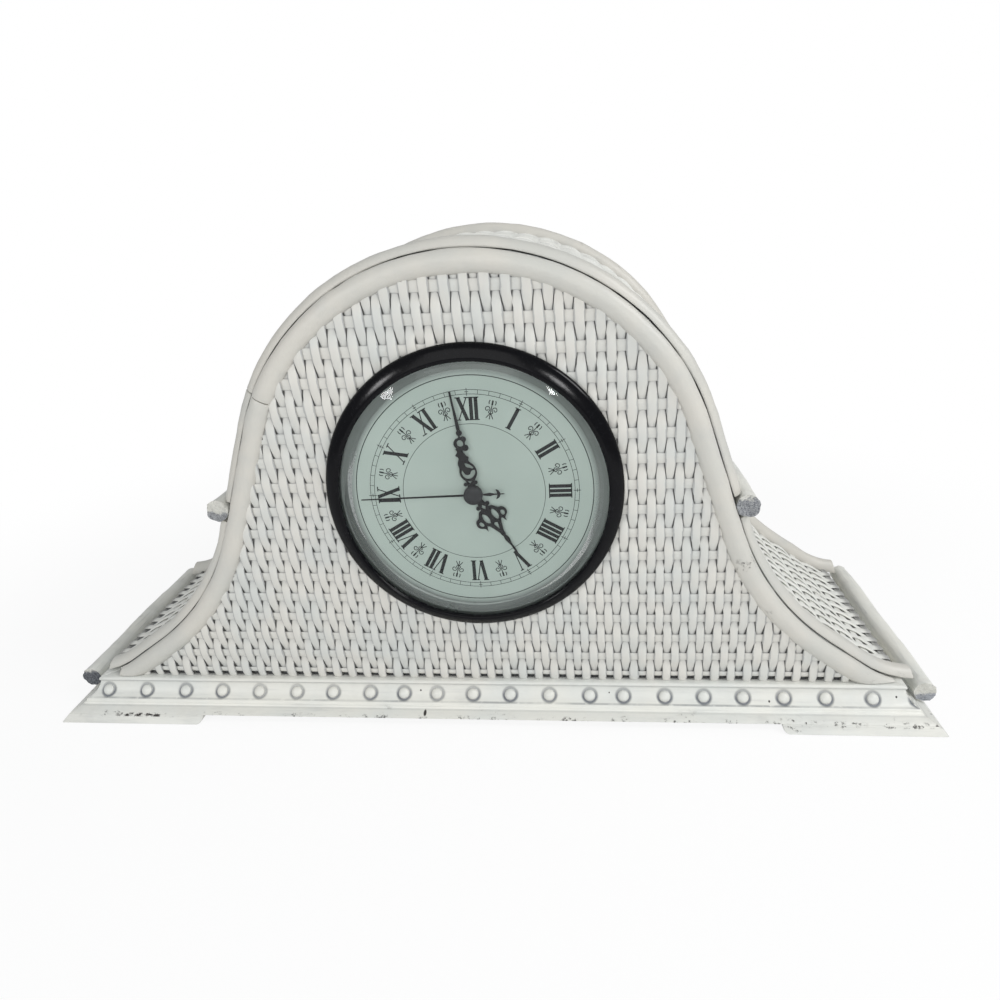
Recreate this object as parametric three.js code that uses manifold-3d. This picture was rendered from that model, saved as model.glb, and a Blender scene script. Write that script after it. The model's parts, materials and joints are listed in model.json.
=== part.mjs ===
// A tambour mantel clock in white-painted rattan, on a beaded plinth with bracket feet.
// Millimetres, +Z up. The front faces -Y. The origin is the middle of the footprint, on the table.
import * as THREE from "three";
import { mergeVertices } from "three/addons/utils/BufferGeometryUtils.js";
import Module from "manifold-3d";

const wasm = await Module();
wasm.setup();

// Driving dimensions of the case
const DIAL_HEIGHT = 110.5; // dial centre above the table
const ARCH_RADIUS = 104; // board outline over the dial
const ARCH_DROP = 3.3; // arch centre below the dial centre
const LEAN_DEG = 19; // how far the sides lean out below the arch
const SHOULDER_RADIUS = 115; // hollow sweep between side and toe
const TOE_DEG = 34.8; // slope of the toe above the plinth
const BASE_HALF = 183.5; // half the board's width where it meets the plinth
const CASE_DEPTH = 115; // front of the front board to the back of the rear board
const BOARD = 4; // plywood front and rear boards
const SKIN = 1.5; // bent plywood skin round the boards
const WEAVE = 2; // woven rattan sheet, over a rib
const RIB_PITCH = 11; // the ribs that its strands pass over
const RIB_RISE = 0.8; // how far the sheet falls between two ribs
const RIB_CREST = 3.4; // width that a rib keeps the sheet up
const LOWEST_RIB = 16.5; // height of the front panel's lowest rib, just behind the plinth's top
const STRIP_WIDTH = 9.5; // split rattan strips
const STRIP_THICK = 4;
const REAR_STRIP_THICK = 6;
const SEAM_ANGLE = 62.2; // where two strips butt, left of the top, in degrees round the arch
const POLE_RADIUS = 4.6; // whole rattan poles, front to back
const POLE_PROUD = 1.2; // how far a pole's front end stands past the board
const POLE_BUTT = 3.9; // radius of its worn cut end
const WAIST_POLE_HEIGHT = 101.5;
const BATTEN = 12; // square spreaders between the boards
const BATTEN_INSET = 33.5; // a batten's middle, in from the end of the toe
const REAR_HOLE_RADIUS = 40; // hand hole in the rear board
const GAP = 0.3; // clearance between pieces that rest on each other

// Driving dimensions of the plinth
const PLINTH_HEIGHT = 17.5;
const PLINTH_HALF = 185; // half the plinth box's width, inside the mouldings
const PLINTH_FRONT = 1.8; // the plinth box's front, behind the board's face
const PLINTH_BACK = 1; // the plinth box's back, behind the rear board
const PLINTH_BOARD = 4.5;
const RAIL_DEPTH = 9;
const FOOT_HEIGHT = 3;
const FOOT_LENGTH = 71; // along the front
const FOOT_SIDE = 44; // along the sides
const FOOT_INNER = 8; // inner edge of a foot, outside the plinth box
const FOOT_FLARE = 21.6; // its outer edge
const REAR_FOOT_INNER = 24; // width of the arm under the rear rail
const FOOT_ROUND = 2.6; // rounding of a foot's inner end
const BEAD_PITCH = 18.2;
const BEAD_START = 2; // first bead's centre, outside the plinth box's left end
const BEAD_SAWN = 1.7; // the last bead's centre may lie this far past the mitre
const BEAD_RADIUS = 2.5;
const BEAD_HEIGHT = 1.5;
const BEAD_OUT = 8.7; // bead centre on the moulding: outwards from the box
const BEAD_UP = 11.2; // and above the table
const BEAD_TILT = 40; // a bead faces this far above level

// Moulding section, outwards from the plinth box and above the table
const MOULDING = [
  [0, FOOT_HEIGHT + GAP],
  [18.4, FOOT_HEIGHT + GAP],
  [18.6, 3.6],
  [14.4, 6.5],
  [13.5, 6.8],
  [13.3, 7.6],
  [12.5, 8],
  [12.4, 8.8],
  [11.7, 9.3],
  [10.2, 9.7],
  [8.6, 11.1],
  [7.4, 13],
  [6.8, 14.9],
  [7.2, 15.7],
  [7, 16.8],
  [6.3, PLINTH_HEIGHT],
  [0, PLINTH_HEIGHT],
];

// Driving dimensions of the clock insert
const BEZEL_RADIUS = 65;
const BEZEL_LIP = 57.9; // clear radius of the bezel
const BEZEL_PROUD = 4.2; // bezel in front of the weave
const SPIGOT_RADIUS = 61; // the bezel's collar through the board
const SPIGOT_WALL = 1.1;
const SPIGOT_BACK = 7;
const HOLE_CLEAR = 0.5; // board hole round the collar
const LENS_FLAT = 52.8; // radius of the lens's flat middle
const LENS_THICK = 1.5;
const LENS_FRONT = -6.4;
const DIAL_FACE = 1.2; // dial behind the board's face
const DIAL_THICK = 0.8;
const INSERT_RADIUS = 59.3; // lens, spacer, dial and cup inside the collar
const SPACER_FOOT = 54; // the spacer ring's clear radius at the dial
const CUP_WALL = 1.2;
const CUP_RIM = 4.2;
const CLIP_WIDTH = 9;
const CLIP_THICK = 1;
const CLIP_REACH = 12;
const DIAL_TURN = 2; // the insert sits turned a little anticlockwise, in degrees

// Time shown: 4 hours 58 minutes 44 seconds
const SECONDS_SHOWN = 45;
const MINUTES_SHOWN = 58 + SECONDS_SHOWN / 60;
const HOURS_SHOWN = 4 + MINUTES_SHOWN / 60;
const HOUR_REACH = 33.4;
const MINUTE_REACH = 45.8;
const SECOND_REACH = 49.2;
const SECOND_TAIL = 13.5;
const HAND_THICK = 0.4;
const CAP_RADIUS = 4.1;

// Driving dimensions of the quartz movement
const MOVEMENT_WALL = 1.2;
const BUSH_RADIUS = 3.5; // threaded bush through dial and cup
const BUSH_BORE = 2.9;
const NUT_ACROSS = 9;
const NUT_THICK = 1.4;
const HOUR_PIPE = 2.6;
const HOUR_PIPE_BORE = 1.9;
const MINUTE_PIPE = 1.6;
const MINUTE_PIPE_BORE = 0.8;
const ARBOR = 0.5;
const BATTERY_RADIUS = 7.1; // size AA
const BATTERY_LENGTH = 50.5;
const CONTACT_ROOM = 1.55; // at each end of the battery
const MOVEMENT = BATTERY_LENGTH + 2 * (CONTACT_ROOM + MOVEMENT_WALL); // square housing
const MOVEMENT_DEPTH = 2 * BATTERY_RADIUS + MOVEMENT_WALL + 0.6;
const BATTERY_DROP = 18.6; // below the dial centre
const CONTACT = 8;
const KNOB_RADIUS = 7;
const KNOB_LENGTH = 4;
const KNOB_FLUTES = 12;

// Gear teeth: setting train 12:36 and 10:40, going train 8:48, 8:40, 8:64 and 8:60
const SET_REACH = 11; // setting arbor to the dial centre
const SET_ANGLE = 150;
const CANNON_TEETH = 12;
const MINUTE_WHEEL_TEETH = 36;
const MINUTE_PINION_TEETH = 10;
const HOUR_WHEEL_TEETH = 40;
const PINION_TEETH = 8;
const CENTRE_WHEEL_TEETH = 60;
const THIRD_WHEEL_TEETH = 64;
const SECOND_WHEEL_TEETH = 40;
const FIFTH_WHEEL_TEETH = 48;
const THIRD_REACH = 10.2;
const THIRD_ANGLE = 20;
const FIFTH_REACH = 8.4;
const FIFTH_ANGLE = 90;
const ROTOR_REACH = 8.4; // from the fifth wheel
const ROTOR_ANGLE = 57.6;
const MAGNET_RADIUS = 3;
const STATOR_CLEAR = 0.5;
const COIL_HEIGHT = 23.2;
const COIL_HALF = 11;
const COIL_RADIUS = 3;
const COIL_FLANGE = 3.5;

const rad = THREE.MathUtils.degToRad;
const SCENE_BACK = CASE_DEPTH + PLINTH_BACK;
const SCENE_FRONT = PLINTH_FRONT - FOOT_FLARE;

// Materials
function paint(color, roughness = 0.5, metalness = 0) {
  return new THREE.MeshStandardMaterial({ color, roughness, metalness });
}
const WHITE = paint(0xe6e4dd, 0.42);
const WOVEN = paint(0xdddcd6, 0.5);
const PLY = paint(0xc9b48c, 0.7);
const BLACK = paint(0x141317, 0.35);
const GLASS = paint(0xdfe8e6, 0.05);
const DIAL_GREEN = paint(0xbfccc6, 0.6);
const SILVER = paint(0xa9b0ae, 0.3, 0.4);
const HOUSING = paint(0x2a2a2c, 0.6);
const NYLON = paint(0xe8e6df, 0.5);
const BRASS = paint(0xb59a4e, 0.3, 0.9);
const STEEL = paint(0xb8bcc0, 0.3, 0.9);
const COPPER = paint(0xa8562c, 0.35, 0.8);
const CELL = paint(0x3c5f78, 0.4);

// Solids: geometry to manifold and back
function toSolid(geometry) {
  const bare = geometry.index ? geometry.toNonIndexed() : geometry.clone();
  for (const name of Object.keys(bare.attributes)) {
    if (name !== "position") bare.deleteAttribute(name);
  }
  const merged = mergeVertices(bare, 1e-4);
  const made = new wasm.Manifold(
    new wasm.Mesh({
      numProp: 3,
      vertProperties: merged.attributes.position.array,
      triVerts: new Uint32Array(merged.index.array),
    }),
  );
  return made;
}

function toGeometry(solid) {
  const mesh = solid.getMesh();
  return new THREE.BufferGeometry()
    .setAttribute("position", new THREE.BufferAttribute(mesh.vertProperties.slice(), 3))
    .setIndex(new THREE.BufferAttribute(mesh.triVerts.slice(), 1));
}

function join(...parts) {
  return toGeometry(parts.map(toSolid).reduce((all, one) => all.add(one)));
}

function cut(body, ...tools) {
  return toGeometry(tools.map(toSolid).reduce((left, tool) => left.subtract(tool), toSolid(body)));
}

// Rings of points, each joined to the next and capped at both ends. flat is the section as 2-D
// points, for the caps.
function loft(rings, flat) {
  const count = flat.length;
  const index = [];
  for (let r = 0; r + 1 < rings.length; r++) {
    for (let i = 0; i < count; i++) {
      const a = r * count + i;
      const b = r * count + ((i + 1) % count);
      index.push(a, b, a + count, b, b + count, a + count);
    }
  }
  const cap = THREE.ShapeUtils.triangulateShape(
    flat.map(([u, v]) => new THREE.Vector2(u, v)),
    [],
  );
  const last = (rings.length - 1) * count;
  const turned = THREE.ShapeUtils.area(flat.map(([x, y]) => ({ x, y }))) > 0;
  for (const [a, b, c] of cap) {
    index.push(...(turned ? [a, c, b] : [a, b, c]));
    index.push(...(turned ? [a + last, b + last, c + last] : [a + last, c + last, b + last]));
  }
  const geometry = new THREE.BufferGeometry()
    .setAttribute("position", new THREE.Float32BufferAttribute(rings.flat(2), 3))
    .setIndex(index);
  return facingOut(geometry);
}

// Turns the faces round where a solid's signed volume says that they point inwards.
function facingOut(geometry) {
  const p = geometry.attributes.position;
  const index = geometry.index.array;
  const [a, b, c] = [new THREE.Vector3(), new THREE.Vector3(), new THREE.Vector3()];
  let volume = 0;
  for (let i = 0; i < index.length; i += 3) {
    a.fromBufferAttribute(p, index[i]);
    b.fromBufferAttribute(p, index[i + 1]);
    c.fromBufferAttribute(p, index[i + 2]);
    volume += a.dot(b.cross(c));
  }
  if (volume < 0) {
    for (let i = 0; i < index.length; i += 3) {
      [index[i + 1], index[i + 2]] = [index[i + 2], index[i + 1]];
    }
  }
  return geometry;
}

// A box from its low corner to its high corner.
function block([x0, y0, z0], [x1, y1, z1]) {
  return new THREE.BoxGeometry(x1 - x0, y1 - y0, z1 - z0).translate(
    (x0 + x1) / 2,
    (y0 + y1) / 2,
    (z0 + z1) / 2,
  );
}

// A flat shape, drawn in X and Z, made solid from y0 back to y1.
function plate(shape, y0, y1, curveSegments = 12) {
  return new THREE.ExtrudeGeometry(shape, {
    depth: y1 - y0,
    bevelEnabled: false,
    curveSegments,
  })
    .rotateX(Math.PI / 2)
    .translate(0, y1, 0);
}

// A turned piece about the Y axis. The profile holds radius and depth, and closes on itself or
// starts and ends on the axis.
function turned(profile, segments = 48) {
  const onAxis = profile[0][0] === 0 && profile.at(-1)[0] === 0;
  const points = (onAxis ? profile : [...profile, profile[0]]).map(
    ([radius, depth]) => new THREE.Vector2(radius, depth),
  );
  const lathe = new THREE.LatheGeometry(points, segments);
  const bare = lathe.toNonIndexed();
  bare.deleteAttribute("normal");
  bare.deleteAttribute("uv");
  const merged = mergeVertices(bare, 1e-4);
  const kept = [];
  const old = merged.index.array;
  for (let i = 0; i < old.length; i += 3) {
    const [a, b, c] = [old[i], old[i + 1], old[i + 2]];
    if (a !== b && b !== c && c !== a) kept.push(a, b, c);
  }
  return facingOut(merged.setIndex(kept));
}

function rod(radius, y0, y1, x = 0, z = 0, segments = 10) {
  return new THREE.CylinderGeometry(radius, radius, y1 - y0, segments).translate(
    x,
    (y0 + y1) / 2,
    z,
  );
}

// The board's outline. Distance is counted from the top of the arch, positive to the right.
const archHeight = DIAL_HEIGHT - ARCH_DROP;
const lean = rad(LEAN_DEG);
const toe = rad(TOE_DEG);
const leanStart = [ARCH_RADIUS * Math.cos(lean), archHeight + ARCH_RADIUS * Math.sin(lean)];
const leanWay = [Math.sin(lean), -Math.cos(lean)];
const toeWay = [Math.cos(toe), -Math.sin(toe)];
const toeRun =
  ((BASE_HALF - leanStart[0]) * leanWay[1] - (PLINTH_HEIGHT - leanStart[1]) * leanWay[0]) /
  (toeWay[0] * leanWay[1] - toeWay[1] * leanWay[0]);
const corner = [BASE_HALF - toeRun * toeWay[0], PLINTH_HEIGHT - toeRun * toeWay[1]];
const sweepTurn = Math.PI / 2 - lean - toe;
const sweepTangent = SHOULDER_RADIUS * Math.tan(sweepTurn / 2);
const archEnd = ARCH_RADIUS * (Math.PI / 2 - lean);
const leanEnd =
  archEnd + Math.hypot(corner[0] - leanStart[0], corner[1] - leanStart[1]) - sweepTangent;
const sweepEnd = leanEnd + SHOULDER_RADIUS * sweepTurn;
const outlineEnd = sweepEnd + toeRun - sweepTangent;

function outlineAt(distance) {
  const s = Math.abs(distance);
  let x, z, nx, nz;
  if (s <= archEnd) {
    const a = s / ARCH_RADIUS;
    [nx, nz] = [Math.sin(a), Math.cos(a)];
    [x, z] = [ARCH_RADIUS * nx, archHeight + ARCH_RADIUS * nz];
  } else if (s <= leanEnd) {
    [nx, nz] = [Math.cos(lean), Math.sin(lean)];
    x = leanStart[0] + (s - archEnd) * leanWay[0];
    z = leanStart[1] + (s - archEnd) * leanWay[1];
  } else if (s <= sweepEnd) {
    const slope = Math.PI / 2 - lean - (s - leanEnd) / SHOULDER_RADIUS;
    [nx, nz] = [Math.sin(slope), Math.cos(slope)];
    const start = [
      leanStart[0] + (leanEnd - archEnd) * leanWay[0],
      leanStart[1] + (leanEnd - archEnd) * leanWay[1],
    ];
    x = start[0] + SHOULDER_RADIUS * (Math.cos(lean) - nx);
    z = start[1] + SHOULDER_RADIUS * (Math.sin(lean) - nz);
  } else {
    [nx, nz] = [Math.sin(toe), Math.cos(toe)];
    x = BASE_HALF + (s - outlineEnd) * toeWay[0];
    z = PLINTH_HEIGHT + (s - outlineEnd) * toeWay[1];
  }
  const side = Math.sign(distance) || 1;
  return { x: side * x, z, nx: side * nx, nz };
}

function offsetPoint(distance, out) {
  const { x, z, nx, nz } = outlineAt(distance);
  return [x + out * nx, z + out * nz];
}

const STATION = 10; // longest chord on the curves
// Places along the outline from one distance to another: the ends of its stretches, and even
// steps on its curves.
function stations(from, to) {
  const marks = [-outlineEnd, -sweepEnd, -leanEnd, -archEnd, archEnd, leanEnd, sweepEnd, outlineEnd];
  const stops = [from, ...marks.filter((m) => m > from + 0.5 && m < to - 0.5), to];
  const list = [from];
  for (let i = 0; i + 1 < stops.length; i++) {
    const middle = Math.abs((stops[i] + stops[i + 1]) / 2);
    const curved = middle < archEnd || (middle > leanEnd && middle < sweepEnd);
    const steps = curved ? Math.max(1, Math.ceil((stops[i + 1] - stops[i]) / STATION)) : 1;
    for (let k = 1; k <= steps; k++) {
      list.push(stops[i] + ((stops[i + 1] - stops[i]) * k) / steps);
    }
  }
  return list;
}

const BELOW = block(
  [-2 * BASE_HALF, -CASE_DEPTH, -CASE_DEPTH],
  [2 * BASE_HALF, 2 * CASE_DEPTH, PLINTH_HEIGHT + GAP],
);

// A section of [out, y] points, carried along the outline and cut level on the plinth.
function alongOutline(section, from, to) {
  const rings = stations(from, to).map((s) =>
    section.map(([out, y]) => {
      const [x, z] = offsetPoint(s, out);
      return [x, y, z];
    }),
  );
  const made = loft(rings, section);
  const reachesPlinth = Math.max(-from, to) > sweepEnd;
  return reachesPlinth ? cut(made, BELOW) : made;
}

const RUN_OUT = 14; // sweeps run past the toe and are cut off level
const runEnd = outlineEnd + RUN_OUT;

function boardShape(out, holeRadius) {
  const points = stations(-runEnd, runEnd)
    .reverse()
    .map((s) => offsetPoint(s, out));
  const shape = new THREE.Shape(points.map(([x, z]) => new THREE.Vector2(x, z)));
  if (holeRadius) {
    shape.holes.push(new THREE.Path().absarc(0, DIAL_HEIGHT, holeRadius, 0, 2 * Math.PI, true));
  }
  return shape;
}

function board(out, y0, y1, holeRadius) {
  return cut(plate(boardShape(out, holeRadius), y0, y1, 24), BELOW);
}

// Half-round section: flat back at zero, crown at thickness. Gives [across, up] points.
const HALF_ROUND_STEPS = 6;
const HALF_ROUND_POWER = 0.8; // below 1 squares the shoulders of the section
function halfRound(width, thickness) {
  return Array.from({ length: HALF_ROUND_STEPS + 1 }, (_, i) => {
    const a = (Math.PI * i) / HALF_ROUND_STEPS;
    const c = Math.cos(a);
    return [
      (width / 2) * (1 - Math.sign(c) * Math.abs(c) ** HALF_ROUND_POWER),
      thickness * Math.sin(a) ** HALF_ROUND_POWER,
    ];
  });
}

const faceSection = halfRound(STRIP_WIDTH, STRIP_THICK).map(([a, up]) => [-a, -GAP - up]);
const frontEdgeSection = halfRound(STRIP_WIDTH, STRIP_THICK).map(([a, up]) => [GAP + up, 0.2 + a]);
const rearEdgeSection = halfRound(STRIP_WIDTH, REAR_STRIP_THICK).map(([a, up]) => [
  GAP + up,
  CASE_DEPTH - 0.2 - a,
]);

function slab(out0, out1, y0, y1) {
  return [
    [out0, y0],
    [out1, y0],
    [out1, y1],
    [out0, y1],
  ];
}

// Scene graph
const clock = new THREE.Group();
clock.name = "mantel_clock";
clock.position.y = -(SCENE_FRONT + SCENE_BACK) / 2;
const casework = new THREE.Group();
const plinth = new THREE.Group();
const insert = new THREE.Group();
insert.position.z = DIAL_HEIGHT;
const movement = new THREE.Group();
movement.position.z = DIAL_HEIGHT;
clock.add(casework, plinth, insert, movement);

function add(group, name, geometry, material) {
  const mesh = new THREE.Mesh(geometry, material);
  mesh.name = name;
  group.add(mesh);
  return mesh;
}

// Case
const boardHole = SPIGOT_RADIUS + HOLE_CLEAR;
const boardOut = -SKIN - GAP;
add(casework, "front_board", board(boardOut, 0, BOARD, boardHole), PLY);
add(
  casework,
  "rear_board",
  board(boardOut, CASE_DEPTH - BOARD, CASE_DEPTH, REAR_HOLE_RADIUS),
  WHITE,
);

// The front panel lies level over each rib and falls in a shallow valley between two ribs
function valley(up) {
  const half = (RIB_PITCH - RIB_CREST) / 2;
  const front = -GAP - WEAVE;
  const section = [
    [front - 1, up + half * (1 + 1 / RIB_RISE)],
    [front - 1, up - half * (1 + 1 / RIB_RISE)],
    [front + RIB_RISE, up],
  ];
  const rings = [-2 * BASE_HALF, 2 * BASE_HALF].map((x) => section.map(([y, z]) => [x, y, z]));
  return loft(rings, section);
}

const valleys = [];
const weaveTop = archHeight + ARCH_RADIUS - STRIP_WIDTH;
for (let up = LOWEST_RIB + RIB_PITCH / 2; up < weaveTop; up += RIB_PITCH) valleys.push(valley(up));
const frontSheet = board(-STRIP_WIDTH - GAP, -GAP - WEAVE, -GAP, boardHole);
add(casework, "front_weave", cut(frontSheet, ...valleys), WOVEN);

const waistPole = archEnd + (leanStart[1] - WAIST_POLE_HEIGHT) / Math.cos(lean);
const beside = POLE_RADIUS + GAP; // strips and weave stop against a waist pole
const skinSection = slab(-SKIN, 0, 0, CASE_DEPTH);

// A panel round the case is swept along the outline with its ribs from front to back. Its section
// is thick at both edges of a rib and thin midway to the next one.
function wovenAlong(from, to, ribAt) {
  const section = (thick) =>
    slab(GAP, GAP + thick, STRIP_WIDTH + 0.5, CASE_DEPTH - STRIP_WIDTH - 0.5);
  const low = WEAVE - RIB_RISE;
  const marks = [[from, low]];
  const first = ribAt + RIB_PITCH * Math.ceil((from - ribAt) / RIB_PITCH + 0.5);
  for (let rib = first; rib < to - RIB_PITCH / 2; rib += RIB_PITCH) {
    marks.push([rib - RIB_CREST / 2, WEAVE], [rib + RIB_CREST / 2, WEAVE], [rib + RIB_PITCH / 2, low]);
  }
  marks[marks.length - 1] = [to, low];
  const rings = marks.map(([s, thick]) =>
    section(thick).map(([out, y]) => {
      const [x, z] = offsetPoint(s, out);
      return [x, y, z];
    }),
  );
  const sheet = loft(rings, section(low));
  return Math.max(-from, to) > sweepEnd ? cut(sheet, BELOW) : sheet;
}
add(
  casework,
  "arch_skin",
  alongOutline(skinSection, -waistPole + GAP / 2, waistPole - GAP / 2),
  WHITE,
);
add(
  casework,
  "arch_weave",
  wovenAlong(-waistPole + beside, waistPole - beside, 0),
  WOVEN,
);
add(
  casework,
  "edge_strip_rear_arch",
  alongOutline(rearEdgeSection, -waistPole + beside, waistPole - beside),
  WHITE,
);

const seam = -ARCH_RADIUS * rad(SEAM_ANGLE);
add(
  casework,
  "edge_strip_front_left",
  alongOutline(frontEdgeSection, -waistPole + beside, seam - GAP / 2),
  WHITE,
);
add(
  casework,
  "edge_strip_front_right",
  alongOutline(frontEdgeSection, seam + GAP / 2, waistPole - beside),
  WHITE,
);
add(casework, "face_strip_left", alongOutline(faceSection, -runEnd, seam - GAP / 2), WHITE);
add(casework, "face_strip_right", alongOutline(faceSection, seam + GAP / 2, runEnd), WHITE);

// The pieces below the waist, once for each side
function shoulder(section, side, clear) {
  return side < 0
    ? alongOutline(section, -runEnd, -waistPole - clear)
    : alongOutline(section, waistPole + clear, runEnd);
}

// A rattan pole with a slightly worn butt at each end
function pole(x, z, y0, y1) {
  const worn = 1;
  const profile = [
    [0, y0],
    [POLE_BUTT, y0],
    [POLE_RADIUS, y0 + worn],
    [POLE_RADIUS, y1 - worn],
    [POLE_BUTT, y1],
    [0, y1],
  ];
  return turned(profile, 18).translate(x, 0, z);
}

// A foot pole lies on the side moulding's slope, against the ridge above it
const [slopeFoot, slopeTop, , ridge] = MOULDING.slice(2);
const slopeLength = Math.hypot(slopeFoot[0] - slopeTop[0], slopeFoot[1] - slopeTop[1]);
const slopeWay = [0, 1].map((i) => (slopeFoot[i] - slopeTop[i]) / slopeLength);
const poleClear = POLE_RADIUS + GAP;
const lifted = [slopeTop[0] - slopeWay[1] * poleClear, slopeTop[1] + slopeWay[0] * poleClear];
const fromRidge = [lifted[0] - ridge[0], lifted[1] - ridge[1]];
const backward = fromRidge[0] * slopeWay[0] + fromRidge[1] * slopeWay[1];
const downSlope =
  Math.sqrt(backward ** 2 + poleClear ** 2 - fromRidge[0] ** 2 - fromRidge[1] ** 2) - backward;
const footPole = [0, 1].map((i) => lifted[i] + slopeWay[i] * downSlope);

for (const [side, hand] of [
  [-1, "left"],
  [1, "right"],
]) {
  add(casework, "shoulder_skin_" + hand, shoulder(skinSection, side, GAP / 2), WHITE);
  const toeRib = outlineEnd - RIB_PITCH / 2;
  const woven =
    side < 0
      ? wovenAlong(-runEnd, -waistPole - beside, -toeRib)
      : wovenAlong(waistPole + beside, runEnd, toeRib);
  add(casework, "shoulder_weave_" + hand, woven, WOVEN);
  add(casework, "edge_strip_front_toe_" + hand, shoulder(frontEdgeSection, side, beside), WHITE);
  add(casework, "edge_strip_rear_toe_" + hand, shoulder(rearEdgeSection, side, beside), WHITE);
  const [x, z] = offsetPoint(side * waistPole, GAP + POLE_RADIUS);
  add(casework, "waist_pole_" + hand, pole(x, z, -POLE_PROUD, CASE_DEPTH), WHITE);
  add(
    plinth,
    "foot_pole_" + hand,
    pole(side * (PLINTH_HALF + footPole[0]), footPole[1], -POLE_PROUD, CASE_DEPTH),
    WHITE,
  );
  const inner = side * (BASE_HALF - BATTEN_INSET);
  add(
    casework,
    "batten_" + hand,
    block(
      [inner - BATTEN / 2, BOARD + GAP, PLINTH_HEIGHT + GAP],
      [inner + BATTEN / 2, CASE_DEPTH - BOARD - GAP, PLINTH_HEIGHT + GAP + BATTEN],
    ),
    PLY,
  );
}

// Plinth
const boxBack = CASE_DEPTH + PLINTH_BACK;
add(
  plinth,
  "plinth_board",
  block(
    [-PLINTH_HALF + GAP, PLINTH_FRONT + GAP, PLINTH_HEIGHT - PLINTH_BOARD],
    [PLINTH_HALF - GAP, boxBack, PLINTH_HEIGHT],
  ),
  WHITE,
);
add(
  plinth,
  "rear_rail",
  block(
    [-PLINTH_HALF + GAP, boxBack - RAIL_DEPTH, FOOT_HEIGHT + GAP],
    [PLINTH_HALF - GAP, boxBack, PLINTH_HEIGHT - PLINTH_BOARD - GAP],
  ),
  WHITE,
);

// Front moulding: mitred at both ends, with its row of beads
const MITRE = 0.15; // half the gap in a mitre
function frontRing(side) {
  return MOULDING.map(([out, up]) => [
    side * (PLINTH_HALF + out - MITRE),
    PLINTH_FRONT - out,
    up,
  ]);
}

function bead(x) {
  const rings = 2;
  const profile = [[0, -BEAD_HEIGHT]];
  for (let i = 0; i <= rings; i++) {
    const a = (Math.PI / 2) * (i / rings);
    profile.push([BEAD_RADIUS * Math.cos(a), BEAD_HEIGHT * Math.sin(a)]);
  }
  profile.splice(1, 0, [BEAD_RADIUS, -BEAD_HEIGHT]);
  profile[profile.length - 1][0] = 0;
  return turned(profile, 8)
    .rotateX(Math.PI + rad(-BEAD_TILT))
    .translate(x, PLINTH_FRONT - BEAD_OUT, BEAD_UP);
}

// The last bead is sawn off with the mitre
const sawn = 60;
const pastMitre = new THREE.BoxGeometry(sawn, sawn, sawn)
  .rotateZ(Math.PI / 4)
  .translate(
    PLINTH_HALF - MITRE + (sawn / 2) * Math.SQRT1_2,
    PLINTH_FRONT + (sawn / 2) * Math.SQRT1_2,
    BEAD_UP,
  );
const beads = [];
const lastBead = PLINTH_HALF + BEAD_OUT + BEAD_SAWN;
for (let x = -PLINTH_HALF - BEAD_START; x < lastBead; x += BEAD_PITCH) beads.push(bead(x));
add(
  plinth,
  "front_moulding",
  cut(join(loft([frontRing(-1), frontRing(1)], MOULDING), ...beads), pastMitre),
  WHITE,
);

for (const [side, hand] of [
  [-1, "left"],
  [1, "right"],
]) {
  const front = MOULDING.map(([out, up]) => [
    side * (PLINTH_HALF + out),
    PLINTH_FRONT - out + MITRE,
    up,
  ]);
  const back = MOULDING.map(([out, up]) => [side * (PLINTH_HALF + out), boxBack, up]);
  add(plinth, "side_moulding_" + hand, loft([front, back], MOULDING), WHITE);
}

// Bracket feet. A foot has an arm along the front or rear and an arm along the side, and each arm
// is rounded up at its inner end.
const footTop = FOOT_HEIGHT;
const footEdge = MOULDING[2][0]; // its outer face carries on from the moulding's lower edge
function footSection(bottom, inner) {
  const flare = (FOOT_FLARE - footEdge) / FOOT_HEIGHT;
  return [
    [inner, footTop],
    [footEdge, footTop],
    [footEdge + flare * (footTop - bottom), bottom],
    [inner, bottom],
  ];
}

// Distances from an arm's inner end, with the height of its underside there
function footRounding() {
  const steps = 3;
  return Array.from({ length: steps + 1 }, (_, i) => {
    const a = (Math.PI / 2) * (i / steps);
    return [FOOT_ROUND * (1 - Math.cos(a)), FOOT_ROUND * (1 - Math.sin(a))];
  });
}

function sideArm(side, from, to, mitred) {
  const section = footSection(0, FOOT_INNER);
  const corner = section.map(([out, up]) => [
    side * (PLINTH_HALF + out),
    mitred ? PLINTH_FRONT - out : from,
    up,
  ]);
  const rounds = footRounding().map(([inset, bottom]) =>
    footSection(bottom, FOOT_INNER).map(([out, up]) => [
      side * (PLINTH_HALF + out),
      to - Math.sign(to - from) * inset,
      up,
    ]),
  );
  return loft([corner, ...rounds.reverse()], section);
}

function frontArm(side) {
  const section = footSection(0, FOOT_INNER);
  const corner = section.map(([out, up]) => [side * (PLINTH_HALF + out), PLINTH_FRONT - out, up]);
  const inside = PLINTH_HALF + FOOT_FLARE - FOOT_LENGTH;
  const rounds = footRounding().map(([inset, bottom]) =>
    footSection(bottom, FOOT_INNER).map(([out, up]) => [
      side * (inside + inset),
      PLINTH_FRONT - out,
      up,
    ]),
  );
  return loft([corner, ...rounds.reverse()], section);
}

function rearArm(side) {
  const inside = PLINTH_HALF + FOOT_FLARE - FOOT_LENGTH;
  return block(
    [Math.min(side * inside, side * (PLINTH_HALF + FOOT_INNER + 1)), boxBack - REAR_FOOT_INNER, 0],
    [Math.max(side * inside, side * (PLINTH_HALF + FOOT_INNER + 1)), boxBack, footTop],
  );
}

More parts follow.
